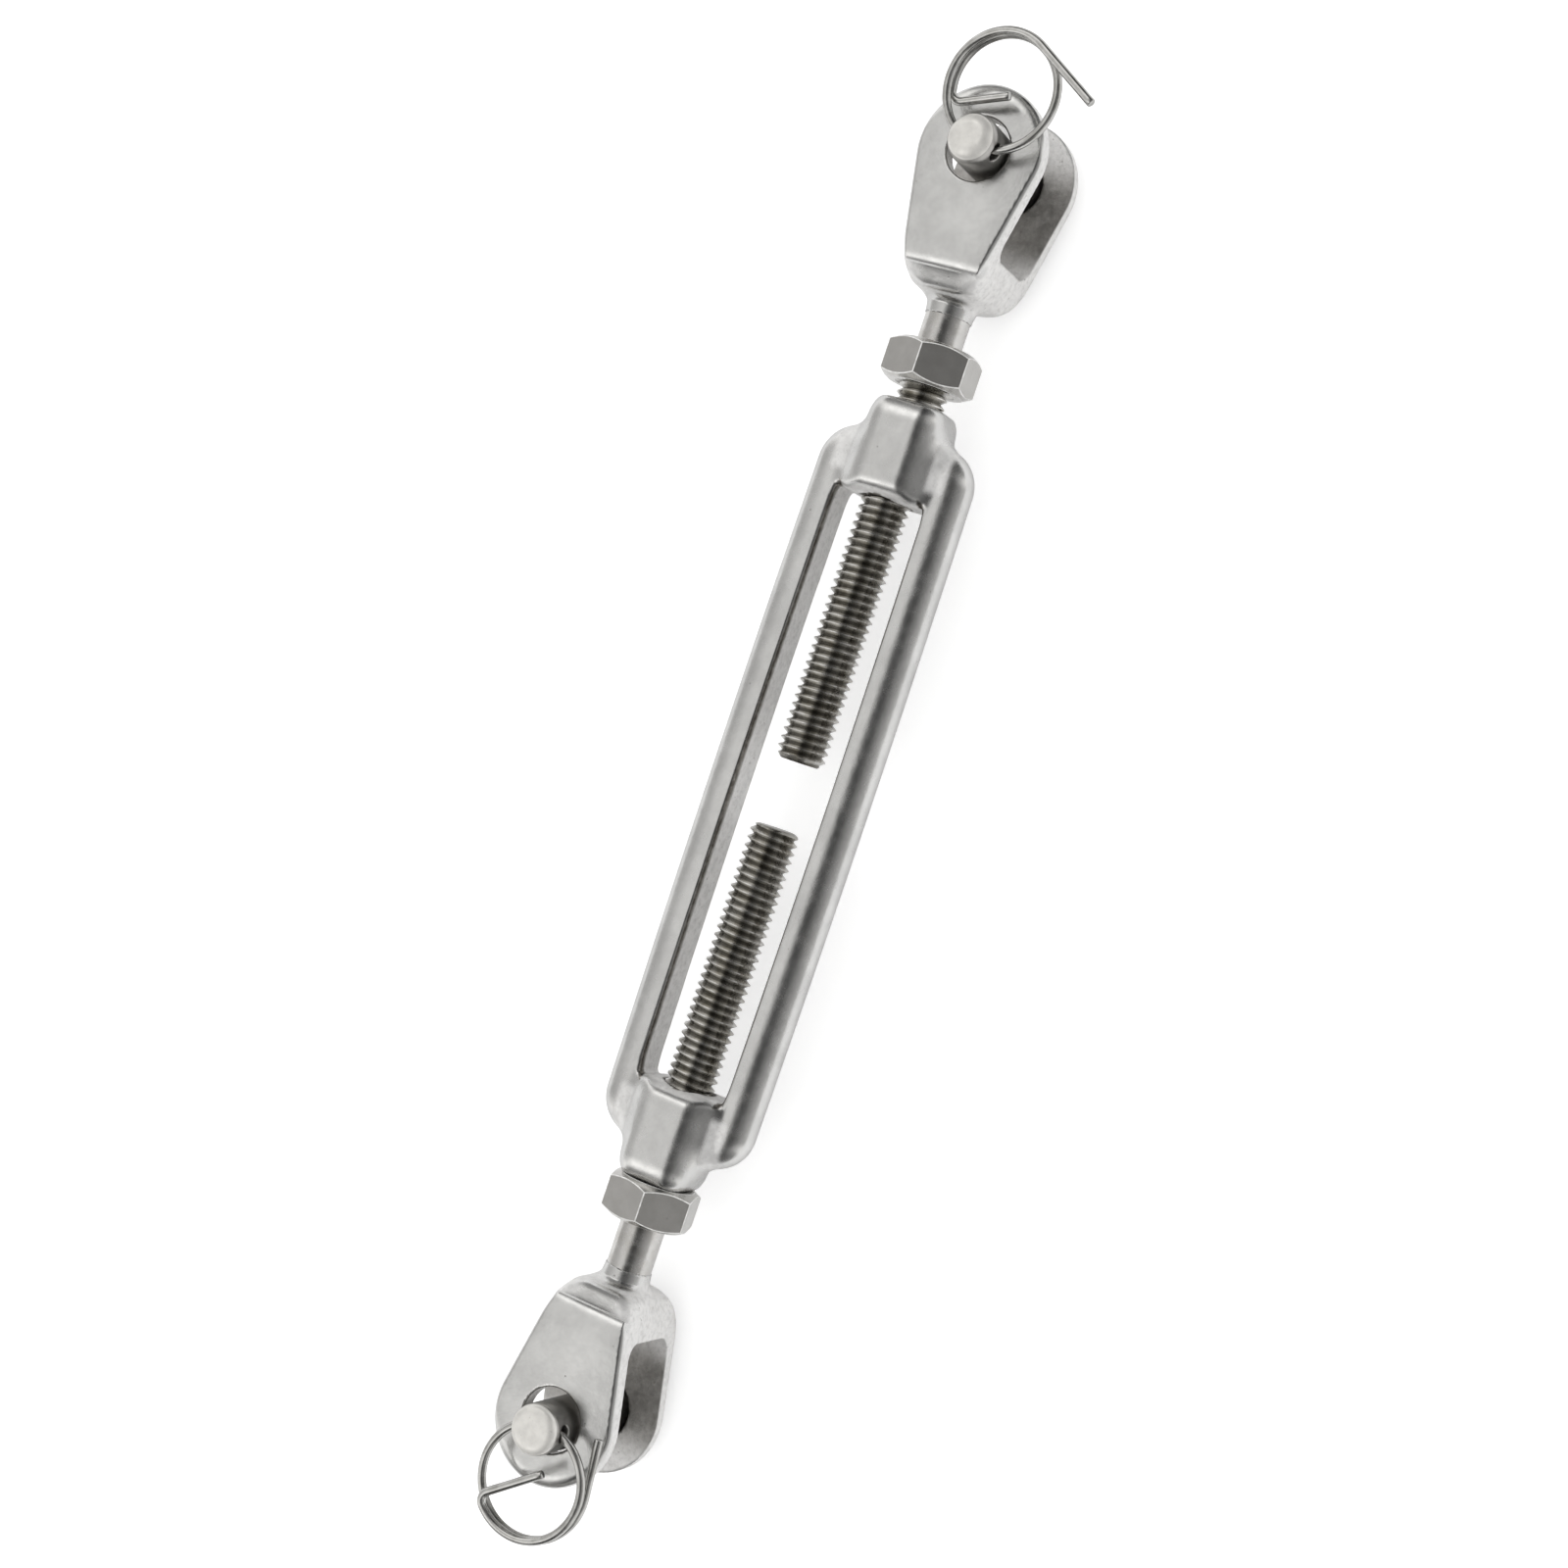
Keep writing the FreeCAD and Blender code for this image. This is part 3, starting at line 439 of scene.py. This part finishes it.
class Finish(Nodes):
    """A material round its Principled BSDF."""

    def __init__(self, name, coordinates="Object"):
        self.material = bpy.data.materials.new(name)
        self.material.use_nodes = True
        super().__init__(self.material.node_tree, coordinates)

    def done(self, color, rough, normal=None, metallic=1.0, **more):
        shader = self.tree.nodes["Principled BSDF"]
        self.put(shader, "Base Color", self.color(color))
        self.put(shader, "Roughness", rough)
        self.put(shader, "Metallic", metallic)
        if normal is not None:
            self.put(shader, "Normal", normal)
        for socket, value in more.items():
            self.put(shader, socket.replace("_", " "), value)
        return self.material


# ------------------------------------------------------------------ finishes
CAST_TINT = (0.8, 0.8, 0.8, 1.0)  # specular tints
EDGE_TINT = (0.5, 0.5, 0.5, 1.0)


def shaded(tone, factor):
    return tuple(min(1, channel * factor) for channel in tone)


def cast_steel(name, tone, polish, patch_scale):
    """Electropolished casting: soft polished skin, sandy as-cast skin where the mark "raw"
    says so, and painted shade in a dark brownish colour where the shade mark does. Polish is the
    skin's mean roughness."""
    s = Finish(name)
    raw, painted_shade = s.mark("raw"), s.mark("painted_shade")
    patchy = s.spread(s.noise(scale=520.0 * patch_scale, detail=4.0, rough=0.6), 0.0, 1.0)
    mask = s.calc("MULTIPLY", raw, s.ramp(patchy, [(0.0, 0.82), (1.0, 1.0)]))
    # polished skin: slow waves, faint orange peel and a few pinholes
    waves = s.relief(
        (330.0, 2.0, 0.5, 34e-6), (1300.0, 2.0, 0.55, 10e-6), (2900.0, 3.0, 0.65, 8e-6))
    spot = s.ramp(s.voronoi(scale=900.0), [(0.0, 1.0), (0.07, 1.0), (0.15, 0.0)])
    few = s.ramp(s.noise(scale=450.0, detail=2.0), [(0.0, 0.0), (0.6, 0.0), (0.68, 1.0)])
    pinhole = s.calc("MULTIPLY", spot, few)
    polished = s.bump(
        s.calc("SUBTRACT", 1.0, pinhole), distance=20e-6, strength=0.7, below=waves)
    sandy = s.relief((1000.0, 3.0, 0.6, 50e-6), (3000.0, 3.0, 0.65, 28e-6))
    normal = s.mix_normals(mask, polished, sandy)
    # colours of the skin, the sand and the painted shade
    cloud = s.ramp(
        s.noise(scale=240.0, detail=5.0, rough=0.65),
        [(0.28, shaded(tone, 0.90)), (0.72, shaded(tone, 1.06))])
    skin = s.mix(s.calc("MULTIPLY", pinhole, 0.55), cloud, (0.2, 0.19, 0.18))
    sand = s.ramp(
        s.noise(scale=1600.0, detail=4.0, rough=0.65),
        [(0.25, (0.60, 0.592, 0.58)), (0.6, (0.78, 0.772, 0.76)), (0.85, (0.87, 0.865, 0.855))])
    specks = s.specks(s.noise(scale=1900.0, rough=0.7), full=0.27, gone=0.34, strength=0.7)
    sand = s.mix(specks, sand, (0.16, 0.14, 0.12))
    color = s.mix(mask, skin, sand)
    # the painted shade: a dark brownish colour in random patches, laid over the skin and sand
    # where the shade mark says
    patches = s.ramp(
        s.noise(scale=1100.0, detail=4.0, rough=0.65), [(0.35, 0.0), (0.75, 1.0)])
    grime_and_shade = s.mix(patches, (0.15, 0.137, 0.12), (0.36, 0.345, 0.32))
    color = s.mix(painted_shade, color, grime_and_shade)
    fine = s.spread(s.noise(scale=700.0), polish * 0.85, polish * 1.2)
    coarse = s.spread(s.noise(scale=900.0), 0.40, 0.52)
    # bare raw skin is less metallic
    dull = s.calc("MULTIPLY", s.calc("SUBTRACT", mask, painted_shade), 0.75)
    metallic = s.calc("SUBTRACT", 1.0, dull)
    return s.done(
        color, s.mix(mask, fine, coarse), normal, metallic=metallic, Specular_Tint=CAST_TINT)


def pin_steel():
    """Turned and tumbled pin: matt, with small dents, duller end faces, and painted shade on the
    shaft.
    """
    tone, matt = (0.72, 0.705, 0.67), 0.36
    shaft_end, head_top = 0.01165, -0.00762  # the shaft's painted shade lies between these heights
    s = Finish("pin_steel")
    waves = s.relief((700.0, 2.0, 0.5, 30e-6), (2600.0, 3.0, 0.65, 10e-6))
    dents = s.ramp(s.voronoi(scale=1300.0), [(0.0, 0.0), (0.3, 1.0)])
    normal = s.bump(dents, distance=10e-6, strength=0.35, below=waves)
    color = s.ramp(
        s.noise(scale=900.0, detail=4.0, rough=0.6), [(0.25, shaded(tone, 0.86)), (0.7, tone)])
    specks = s.specks(
        s.noise(scale=2600.0, detail=2.0, rough=0.7), full=0.24, gone=0.3, strength=0.6)
    color = s.mix(specks, color, (0.22, 0.2, 0.17))
    rough = s.spread(s.noise(scale=1100.0), matt * 0.85, matt * 1.2)
    z = s.xyz()[2]
    above = s.calc("GREATER_THAN", z, shaft_end)
    end = s.calc("MAXIMUM", above, s.calc("LESS_THAN", z, head_top))
    # painted shade on the shaft: the second tone belongs to the shaft end, the first and darker
    # one to the shank below it, in the ears and the gap; z is per 20 mm
    upper = s.ramp(s.calc("MULTIPLY", z, 50.0), [(0.0, 0.0), (0.37, 0.0), (0.45, 1.0)])
    shaft_shade = s.mix(upper, (0.25, 0.24, 0.225), (0.46, 0.45, 0.43))
    # the ends' factor picks the plain colour, as the shaft's painted shade is the mix's first
    # input
    color = s.mix(end, shaft_shade, color)
    metallic = s.calc("SUBTRACT", 1.0, s.calc("MULTIPLY", end, 0.5))
    return s.done(color, rough, normal, metallic=metallic, Specular_Tint=EDGE_TINT)


def thread_steel():
    """Machined stud: colour painted by height, with painted shade in the roots and a painted
    highlight on the crests, brown residue, and a smoother plain neck.
    """
    root, depth = 0.00238, 0.00059  # radius of the roots and height of the crests over them
    s = Finish("thread_steel")
    x, y, z = s.xyz()
    squares = s.calc("ADD", s.calc("MULTIPLY", y, y), s.calc("MULTIPLY", z, z))
    rho = s.calc("SQRT", squares)
    height = s.calc("DIVIDE", s.calc("SUBTRACT", rho, root), depth)
    # painted shade in the roots and a painted highlight on the crests, by height over the roots
    tone = s.ramp(height, [
        (0.0, (0.22, 0.21, 0.19)), (0.3, (0.42, 0.41, 0.385)),
        (0.7, (0.62, 0.61, 0.59)), (1.0, (0.74, 0.73, 0.71))])
    # the neck starts about 52 mm from the middle; stops are per 100 mm
    neck = s.ramp(
        s.calc("MULTIPLY", s.calc("ABSOLUTE", x), 10.0),
        [(0.0, 0.0), (0.518, 0.0), (0.53, 1.0), (1.0, 1.0)])
    tone = s.mix(neck, tone, (0.64, 0.63, 0.615))
    grime_and_shade = s.ramp(
        s.noise(scale=520.0, detail=4.0, rough=0.65),
        [(0.32, (0.66, 0.64, 0.59)), (0.62, (1.0, 1.0, 1.0))])
    grimy = s.calc("SUBTRACT", 0.9, s.calc("MULTIPLY", neck, 0.55))
    color = s.mix(grimy, tone, grime_and_shade, blend="MULTIPLY")
    normal = s.relief((900.0, 2.0, 0.5, 12e-6), (4200.0, 2.0, 0.6, 4e-6))
    return s.done(color, s.spread(s.noise(scale=900.0), 0.16, 0.3), normal)


def nut_steel():
    """Cold-formed nut: flat satin facets with faint drawing lines and a little dust."""
    s = Finish("nut_steel")
    lines = s.noise(scale=2600.0, detail=2.0, rough=0.6, stretch=(0.1, 1.0, 1.0))
    drawn = s.bump(lines, distance=1.2e-6)
    normal = s.bump(s.noise(scale=600.0, detail=2.0, rough=0.5), distance=6e-6, below=drawn)
    dust = s.specks(s.noise(scale=2100.0, rough=0.7), full=0.25, gone=0.31, strength=0.5)
    cloud = s.spread(s.noise(scale=420.0), (0.54, 0.53, 0.51), (0.59, 0.58, 0.56))
    color = s.mix(dust, cloud, (0.25, 0.235, 0.21))
    return s.done(color, s.spread(s.noise(scale=800.0), 0.13, 0.19), normal)


def nut_edge_highlight():
    """Painted highlight along the corners of the nuts: a light, less metallic finish on the
    bevels.
    """
    s = Finish("nut_edge_highlight")
    color = s.spread(
        s.noise(scale=1500.0, rough=0.6), (0.60, 0.595, 0.58), (0.88, 0.875, 0.86))
    return s.done(color, rough=0.4, normal=s.relief((2400.0, 2.0, 0.5, 6e-6)), metallic=0.35)


def ring_wire():
    """Drawn spring wire: fine grain and slight staining."""
    s = Finish("ring_wire")
    normal = s.relief((3600.0, 3.0, 0.6, 3.5e-6))
    color = s.ramp(
        s.noise(scale=600.0, detail=4.0, rough=0.6),
        [(0.28, (0.46, 0.455, 0.435)), (0.7, (0.63, 0.625, 0.61))])
    rough = s.spread(s.noise(scale=1200.0), 0.16, 0.27)
    return s.done(color, rough, normal, Specular_Tint=EDGE_TINT)


CAST = cast_steel("cast_body", tone=(0.665, 0.662, 0.652), polish=0.235, patch_scale=1.0)
FORK = cast_steel("cast_fork", tone=(0.68, 0.678, 0.668), polish=0.225, patch_scale=1.15)
PIN = pin_steel()
THREAD = thread_steel()
NUT = nut_steel()
NUT_EDGE_HIGHLIGHT = nut_edge_highlight()
WIRE = ring_wire()

# ------------------------------------------------------------------ body, forks and pins


def shift(x, y=0.0, z=0.0):
    return Matrix.Translation((x, y, z))


def spin(degrees, axis):
    return Matrix.Rotation(math.radians(degrees), 4, axis)


points, quads, normals = surface(body_field, (-48.0, -10.9, -5.6), (48.0, 10.9, 5.6), 0.3)
casting = to_mesh("body_casting", points, quads, normals, marks=body_marks(points, normals))
dress(casting, "body", "frame", CAST)

points, quads, normals = surface(fork_field, (-18.35, -8.3, -8.15), (8.3, 8.3, 8.15), 0.23)
marks = fork_marks(points, normals)
LH_FORK = shift(-PIN_X) @ Matrix.Rotation(math.pi, 4, "Z")
for side, place in (("rh", shift(PIN_X)), ("lh", LH_FORK)):
    casting = to_mesh(side + "_fork_casting", points, quads, normals, place, marks)
    dress(casting, side + "_jaw", side + "_fork", FORK)

# each pin lies loose in its hole, turned to its own angle
PIN_PLACES = {
    "rh": shift(PIN_X, -0.55) @ spin(257.0, "Z"),
    "lh": shift(-76.4, -0.4) @ spin(98.0, "Z"),
}
for side, bevel in (("rh", 0.95), ("lh", 0.45)):
    pin = to_mesh(
        side + "_clevis_pin_turned",
        *surface(pin_field(bevel), (-4.9, -4.9, -9.8), (4.9, 4.9, 12.7), 0.2),
        PIN_PLACES[side])
    dress(pin, side + "_pin", side + "_clevis_pin", PIN)

# ------------------------------------------------------------------ studs
STUD_LENGTH = PIN_X - FORK_BACK - STUD_TIP
THREAD_END, RUN_OUT = 48.6, 1.6
MAJOR_R, ROOT_R, ROOT_LIP = 2.97, 2.39, 0.045
CREST_TO, ROOT_FROM, ROOT_MID, ROOT_TO = 0.125, 0.47, 0.5625, 0.655  # parts of a turn
# stations along one turn of the 1 mm pitch
STATIONS = [0.0, 0.06, CREST_TO, 0.24, 0.36, ROOT_FROM, ROOT_MID, ROOT_TO, 0.765, 0.885]
NOSE_R, POINT_R, POINT_SLOPE = 2.0, 2.25, 0.96  # domed nose, and conical point


def thread_radius(station):
    flank = MAJOR_R - ROOT_R - ROOT_LIP
    if station < CREST_TO:
        return MAJOR_R
    if station < ROOT_FROM:
        return MAJOR_R - (station - CREST_TO) / (ROOT_FROM - CREST_TO) * flank
    if station < ROOT_TO:
        return ROOT_R + ROOT_LIP * ((station - ROOT_MID) / (ROOT_MID - ROOT_FROM)) ** 2
    return ROOT_R + ROOT_LIP + (station - ROOT_TO) / (1 - ROOT_TO) * flank


def stud_mesh(hand, domed):
    """A rolled-thread stud along +Z from its tip at 0. Grid rows follow the helix, so crests
    and roots stay crisp. Hand is 1 for a right-hand thread and -1 for a left-hand one."""
    cols = 60
    turns = int(STUD_LENGTH) + 3
    rows = [(turn - 1 + u, thread_radius(u)) for turn in range(turns) for u in STATIONS]
    count = len(rows)
    verts = np.zeros((count, cols, 3))
    for j in range(cols):
        angle = 2 * math.pi * j / cols
        for i, (start, r) in enumerate(rows):
            along = start + hand * j / cols
            fade = smooth(along, THREAD_END - RUN_OUT, THREAD_END)
            r = r + (NECK_R - r) * fade if along < THREAD_END else NECK_R
            z = min(max(along, 0.0), STUD_LENGTH)
            if domed:
                dome = math.sqrt(max(0.0, 1 - (1 - min(z, 1.0)) ** 2))
                r = min(r, NOSE_R + dome * (MAJOR_R - NOSE_R))
            else:
                r = min(r, POINT_R + z * POINT_SLOPE)
            verts[i, j] = (r * math.cos(angle), r * math.sin(angle), z)
    faces = []
    turn_rows = hand * len(STATIONS)
    for i in range(count - 1):
        row, after = i * cols, (i + 1) * cols
        for j in range(cols - 1):
            faces.append((row + j, row + j + 1, after + j + 1, after + j))
        # the seam joins the last column to the first, one pitch along
        if 0 <= i + turn_rows and i + 1 + turn_rows < count:
            seam = (i + turn_rows) * cols
            faces.append((row + cols - 1, seam, seam + cols, after + cols - 1))
    return verts.reshape(-1, 3), faces


for side, hand, domed in (("rh", 1, False), ("lh", -1, True)):
    place = shift(hand * STUD_TIP) @ Matrix.Rotation(hand * math.pi / 2, 4, "Y")
    stud = to_mesh(side + "_threaded_stud", *stud_mesh(hand, domed), place=place)
    tidy(stud, 2e-6)
    sharpen(stud, 38)
    dress(stud, side + "_stud", side + "_screw", THREAD)

# ------------------------------------------------------------------ lock nuts
NUT_FLAT, NUT_HEIGHT, NUT_FACE_R = 5.0, 5.0, 4.5  # centre to flat, height, flat end face
NUT_BORE_R, NUT_MOUTH = 3.05, 0.5  # bore and its chamfer
NUT_CHAMFER = math.tan(math.radians(30))


def nut_mesh():
    """A chamfered hexagon nut along +X from its inner face at 0, a corner towards +Z."""
    per_side, sixth = 14, math.pi / 3
    verts, faces = [], []
    for angle in [sixth * (k + i / per_side) for k in range(6) for i in range(per_side)]:
        edge = NUT_FLAT / math.cos((angle % sixth) - math.pi / 6)
        drop = (edge - NUT_FACE_R) * NUT_CHAMFER
        mouth_r = NUT_BORE_R + NUT_MOUTH
        outline = [  # radius, x
            (NUT_BORE_R, NUT_MOUTH), (mouth_r, 0.0), (NUT_FACE_R, 0.0), (edge, drop),
            (edge, NUT_HEIGHT - drop), (NUT_FACE_R, NUT_HEIGHT), (mouth_r, NUT_HEIGHT),
            (NUT_BORE_R, NUT_HEIGHT - NUT_MOUTH)]
        verts += [(x, r * -math.sin(angle), r * math.cos(angle)) for r, x in outline]
    size = len(outline)
    for here in range(0, len(verts), size):
        beside = (here + size) % len(verts)
        for j in range(size):
            k = (j + 1) % size
            faces.append((here + j, beside + j, beside + k, here + k))
    return np.array(verts), faces


RH_NUT = shift(49.5) @ spin(3.4, "X")
LH_NUT = shift(-47.32) @ spin(12.8, "X") @ Matrix.Rotation(math.pi, 4, "Z")
for side, place in (("rh", RH_NUT), ("lh", LH_NUT)):
    nut = to_mesh(side + "_lock_nut_hex", *nut_mesh(), place=place)
    tidy(nut, 1e-7)
    sharpen(nut, 14)
    bevel = nut.modifiers.new("edges", "BEVEL")
    bevel.width = 0.00009
    bevel.segments = 3
    bevel.limit_method = "ANGLE"
    bevel.angle_limit = math.radians(18)
    bevel.harden_normals = True
    # the bevels take the second material, which paints a highlight along the nut's corners
    bevel.material = 1
    dress(nut, side + "_nut", side + "_lock_nut", NUT)
    nut.data.materials.append(NUT_EDGE_HIGHLIGHT)

# ------------------------------------------------------------------ split rings
WIRE_R, WIRE_ROUND = 0.5, 0.12
COIL_R, COIL_Y = 6.5, 6.155  # radius of the coil and its middle
COIL_IN, COIL_CLIMB = 0.12, 1.25  # draw in beyond 60 degrees, and fall per turn


def coil_point(angle):
    beyond = angle - np.clip(angle, -60, 60)
    r = COIL_R - COIL_IN * beyond / 300.0
    turn = math.radians(angle)
    return np.array([r * math.sin(turn), COIL_Y - r * math.cos(turn), -COIL_CLIMB * angle / 360.0])


def unit(vector):
    return vector / np.linalg.norm(vector)


def ring_line(start, stop, tail, bend, turned, chord):
    """The wire's centre line: origin where it crosses the pin axis, X along the cross hole,
    the ring's middle towards +Y. A straight tail leads into the coil from start to stop
    degrees; a hook of radius bend turns inwards there and ends in a straight chord."""
    arc = [coil_point(angle) for angle in np.arange(start, stop + 0.01, 3.0)]
    ahead = unit(arc[0] - arc[1])
    straight = [arc[0] + ahead * s for s in np.linspace(tail, 0.5, 14)]
    last, onward = arc[-1], unit(arc[-1] - arc[-2])
    inward = np.array([0, COIL_Y, last[2]]) - last
    inward = unit(inward - onward * (inward @ onward))
    center = last + inward * bend
    turns = np.radians(np.linspace(0, turned, 15)[1:])
    hook = [center - inward * bend * math.cos(t) + onward * bend * math.sin(t) for t in turns]
    out = onward * math.cos(turns[-1]) + inward * math.sin(turns[-1])
    end = [hook[-1] + out * s for s in np.linspace(0.4, chord, 10)]
    return np.array(straight + arc + hook + end)


def tube(line, sides=24):
    """A wire swept along a line, with slightly rounded cut ends."""
    tangents = np.gradient(line, axis=0)
    tangents /= np.linalg.norm(tangents, axis=1)[:, None]
    normal = unit(np.cross(tangents[0], [0, 0, 1.0]))
    frames = []
    for tangent in tangents:
        normal = unit(normal - tangent * (normal @ tangent))
        frames.append((normal, np.cross(tangent, normal)))

    def circle(i, inset=0.0, cut=0.0):
        center, (across, up) = line[i] + tangents[i] * inset, frames[i]
        angles = 2 * math.pi * np.arange(sides) / sides
        return [
            center + (across * math.cos(a) + up * math.sin(a)) * (WIRE_R - cut) for a in angles]

    # how far in from the end, and how much smaller than the wire
    ends = ((0.0, WIRE_ROUND), (WIRE_ROUND * 0.35, WIRE_ROUND * 0.35), (WIRE_ROUND, 0.0))
    rings = [circle(0, inset, cut) for inset, cut in ends]
    rings += [circle(i) for i in range(1, len(line) - 1)]
    rings += [circle(-1, -inset, cut) for inset, cut in reversed(ends)]
    verts = [point for ring in rings for point in ring]
    faces = []
    for row in range(0, len(verts) - sides, sides):
        for j in range(sides):
            a, b = row + j, row + (j + 1) % sides
            faces.append((a, b, b + sides, a + sides))
    faces.append(tuple(range(sides))[::-1])
    faces.append(tuple(range(len(verts) - sides, len(verts))))
    return np.array(verts), faces


for side, lean, shape in (
    ("rh", spin(7.0, "X"),
     dict(start=-202, stop=292, tail=9.0, bend=1.2, turned=101, chord=5.8)),
    ("lh", Matrix.Rotation(math.pi, 4, "Y"),
     dict(start=-270, stop=232, tail=6.5, bend=1.15, turned=100, chord=7.4)),
):
    place = PIN_PLACES[side] @ shift(0.0, 0.0, CROSS_HOLE_Z) @ lean
    ring = to_mesh(side + "_split_ring_wire", *tube(ring_line(**shape)), place=place)
    tidy(ring, 1e-7)
    sharpen(ring, 40)
    dress(ring, side + "_ring", side + "_split_ring", WIRE)

# ------------------------------------------------------------------ floor, light and camera
FLOOR_HALF = 1.6  # metres
SOFTBOX_AT = Vector((-0.18, 0.42, 0.55))  # metres
VIEW_LEAN = math.radians(23.4)  # from straight up towards -Y
VIEW_FROM, VIEW_DISTANCE = Vector((8.6, 0, 0)), 288.6
VIEW_AIM = Vector((1.115, 0.917, 0))
VIEW_TILT = math.radians(18.6)


def build_floor():
    bm = bmesh.new()
    for x, y in ((-1, -1), (1, -1), (1, 1), (-1, 1)):
        bm.verts.new((x * FLOOR_HALF, y * FLOOR_HALF, FLOOR_Z * MM))
    bm.faces.new(bm.verts)
    mesh = bpy.data.meshes.new("floor")
    bm.to_mesh(mesh)
    bm.free()
    floor = add_object("floor", mesh)
    s = Finish("floor_paper", coordinates=None)
    # a faint glow that only the camera sees
    glow = s.calc("MULTIPLY", s.node("ShaderNodeLightPath").outputs["Is Camera Ray"], 0.3)
    mesh.materials.append(s.done(
        (0.93, 0.93, 0.93), rough=0.75, metallic=0.0, Specular_IOR_Level=0.15,
        Emission_Color=(1.0, 1.0, 1.0, 1.0), Emission_Strength=glow))


# Brightness of the tent walls, as (degrees, grey). WALLS goes round the screw axis from
# straight up, negative towards +Y; the camera stands in the dark opening at +23 degrees.
# BOXES goes from square to the axis towards its ends.
WALLS = (
    (-180, 0.9), (-100, 0.75), (-88, 0.62), (-70, 0.53), (-51, 0.61), (-35, 0.74), (-23, 0.82),
    (-12, 0.80), (-3, 0.42), (4, 0.10), (15, 0.055), (27, 0.08), (38, 0.17), (48, 0.25),
    (62, 0.36), (78, 0.50), (92, 0.65), (110, 0.85), (180, 0.9))
BOXES = (
    (0, 0.5), (17, 0.49), (25, 0.8), (30, 1.0), (36, 1.0), (43, 0.42), (53, 0.22), (75, 0.19),
    (90, 0.26))


def build_tent():
    """The world: a light tent in reflections, even light elsewhere, near white to the camera."""
    world = bpy.data.worlds.new("tent")
    bpy.context.scene.world = world
    world.use_nodes = True
    w = Nodes(world.node_tree, "Generated")
    dx, dy, dz = w.xyz()

    def by_angle(fac, stops):
        low, high = stops[0][0], stops[-1][0]
        return w.ramp(fac, [((at - low) / (high - low), grey) for at, grey in stops], "LINEAR")

    around = w.calc("ARCTAN2", w.calc("MULTIPLY", dy, -1.0), dz)
    walls = by_angle(w.calc("ADD", w.calc("DIVIDE", around, 2 * math.pi), 0.5), WALLS)
    endward = w.calc("ARCSINE", w.calc("ABSOLUTE", dx))
    boxes = by_angle(w.calc("DIVIDE", endward, math.pi / 2), BOXES)
    shade = w.calc("MULTIPLY", walls, w.calc("MULTIPLY", boxes, 2.0))
    rays = w.node("ShaderNodeLightPath").outputs
    tinted = w.mix(1.0, shade, (1.0, 0.992, 0.978), blend="MULTIPLY")
    light = w.mix(rays["Is Glossy Ray"], (1.1, 1.1, 1.1), tinted)
    seen = w.mix(rays["Is Camera Ray"], light, (0.95, 0.95, 0.95))
    background = w.tree.nodes["Background"]
    w.put(background, "Color", seen)
    w.put(background, "Strength", 1.0)


def build_softbox():
    lamp = bpy.data.lights.new("softbox", "AREA")
    lamp.shape = "RECTANGLE"
    lamp.size = 0.6
    lamp.size_y = 0.45
    lamp.energy = 0.5
    softbox = add_object("softbox", lamp)
    facing = (-SOFTBOX_AT).to_track_quat("-Z", "Y").to_matrix().to_4x4()
    softbox.matrix_world = Matrix.Translation(SOFTBOX_AT) @ facing
    softbox.visible_glossy = False


def build_camera():
    view = bpy.data.cameras.new("camera")
    camera = add_object("camera", view)
    lean = Vector((0, -math.sin(VIEW_LEAN), math.cos(VIEW_LEAN)))
    place = VIEW_FROM + lean * VIEW_DISTANCE
    forward = (VIEW_AIM - place).normalized()
    along = Vector((1, 0, 0))
    along = (along - forward * along.dot(forward)).normalized()
    up = along * math.cos(VIEW_TILT) - forward.cross(along) * math.sin(VIEW_TILT)
    z = -forward
    x = up.cross(z).normalized()
    matrix = Matrix((x, z.cross(x), z)).transposed().to_4x4()
    matrix.translation = [value * MM for value in place]
    camera.matrix_world = matrix
    view.sensor_width = 36
    view.lens = 57.15
    view.clip_start = 0.01
    view.clip_end = 20
    bpy.context.scene.camera = camera


build_floor()
build_tent()
build_softbox()
build_camera()
bpy.context.scene.view_settings.view_transform = "Standard"
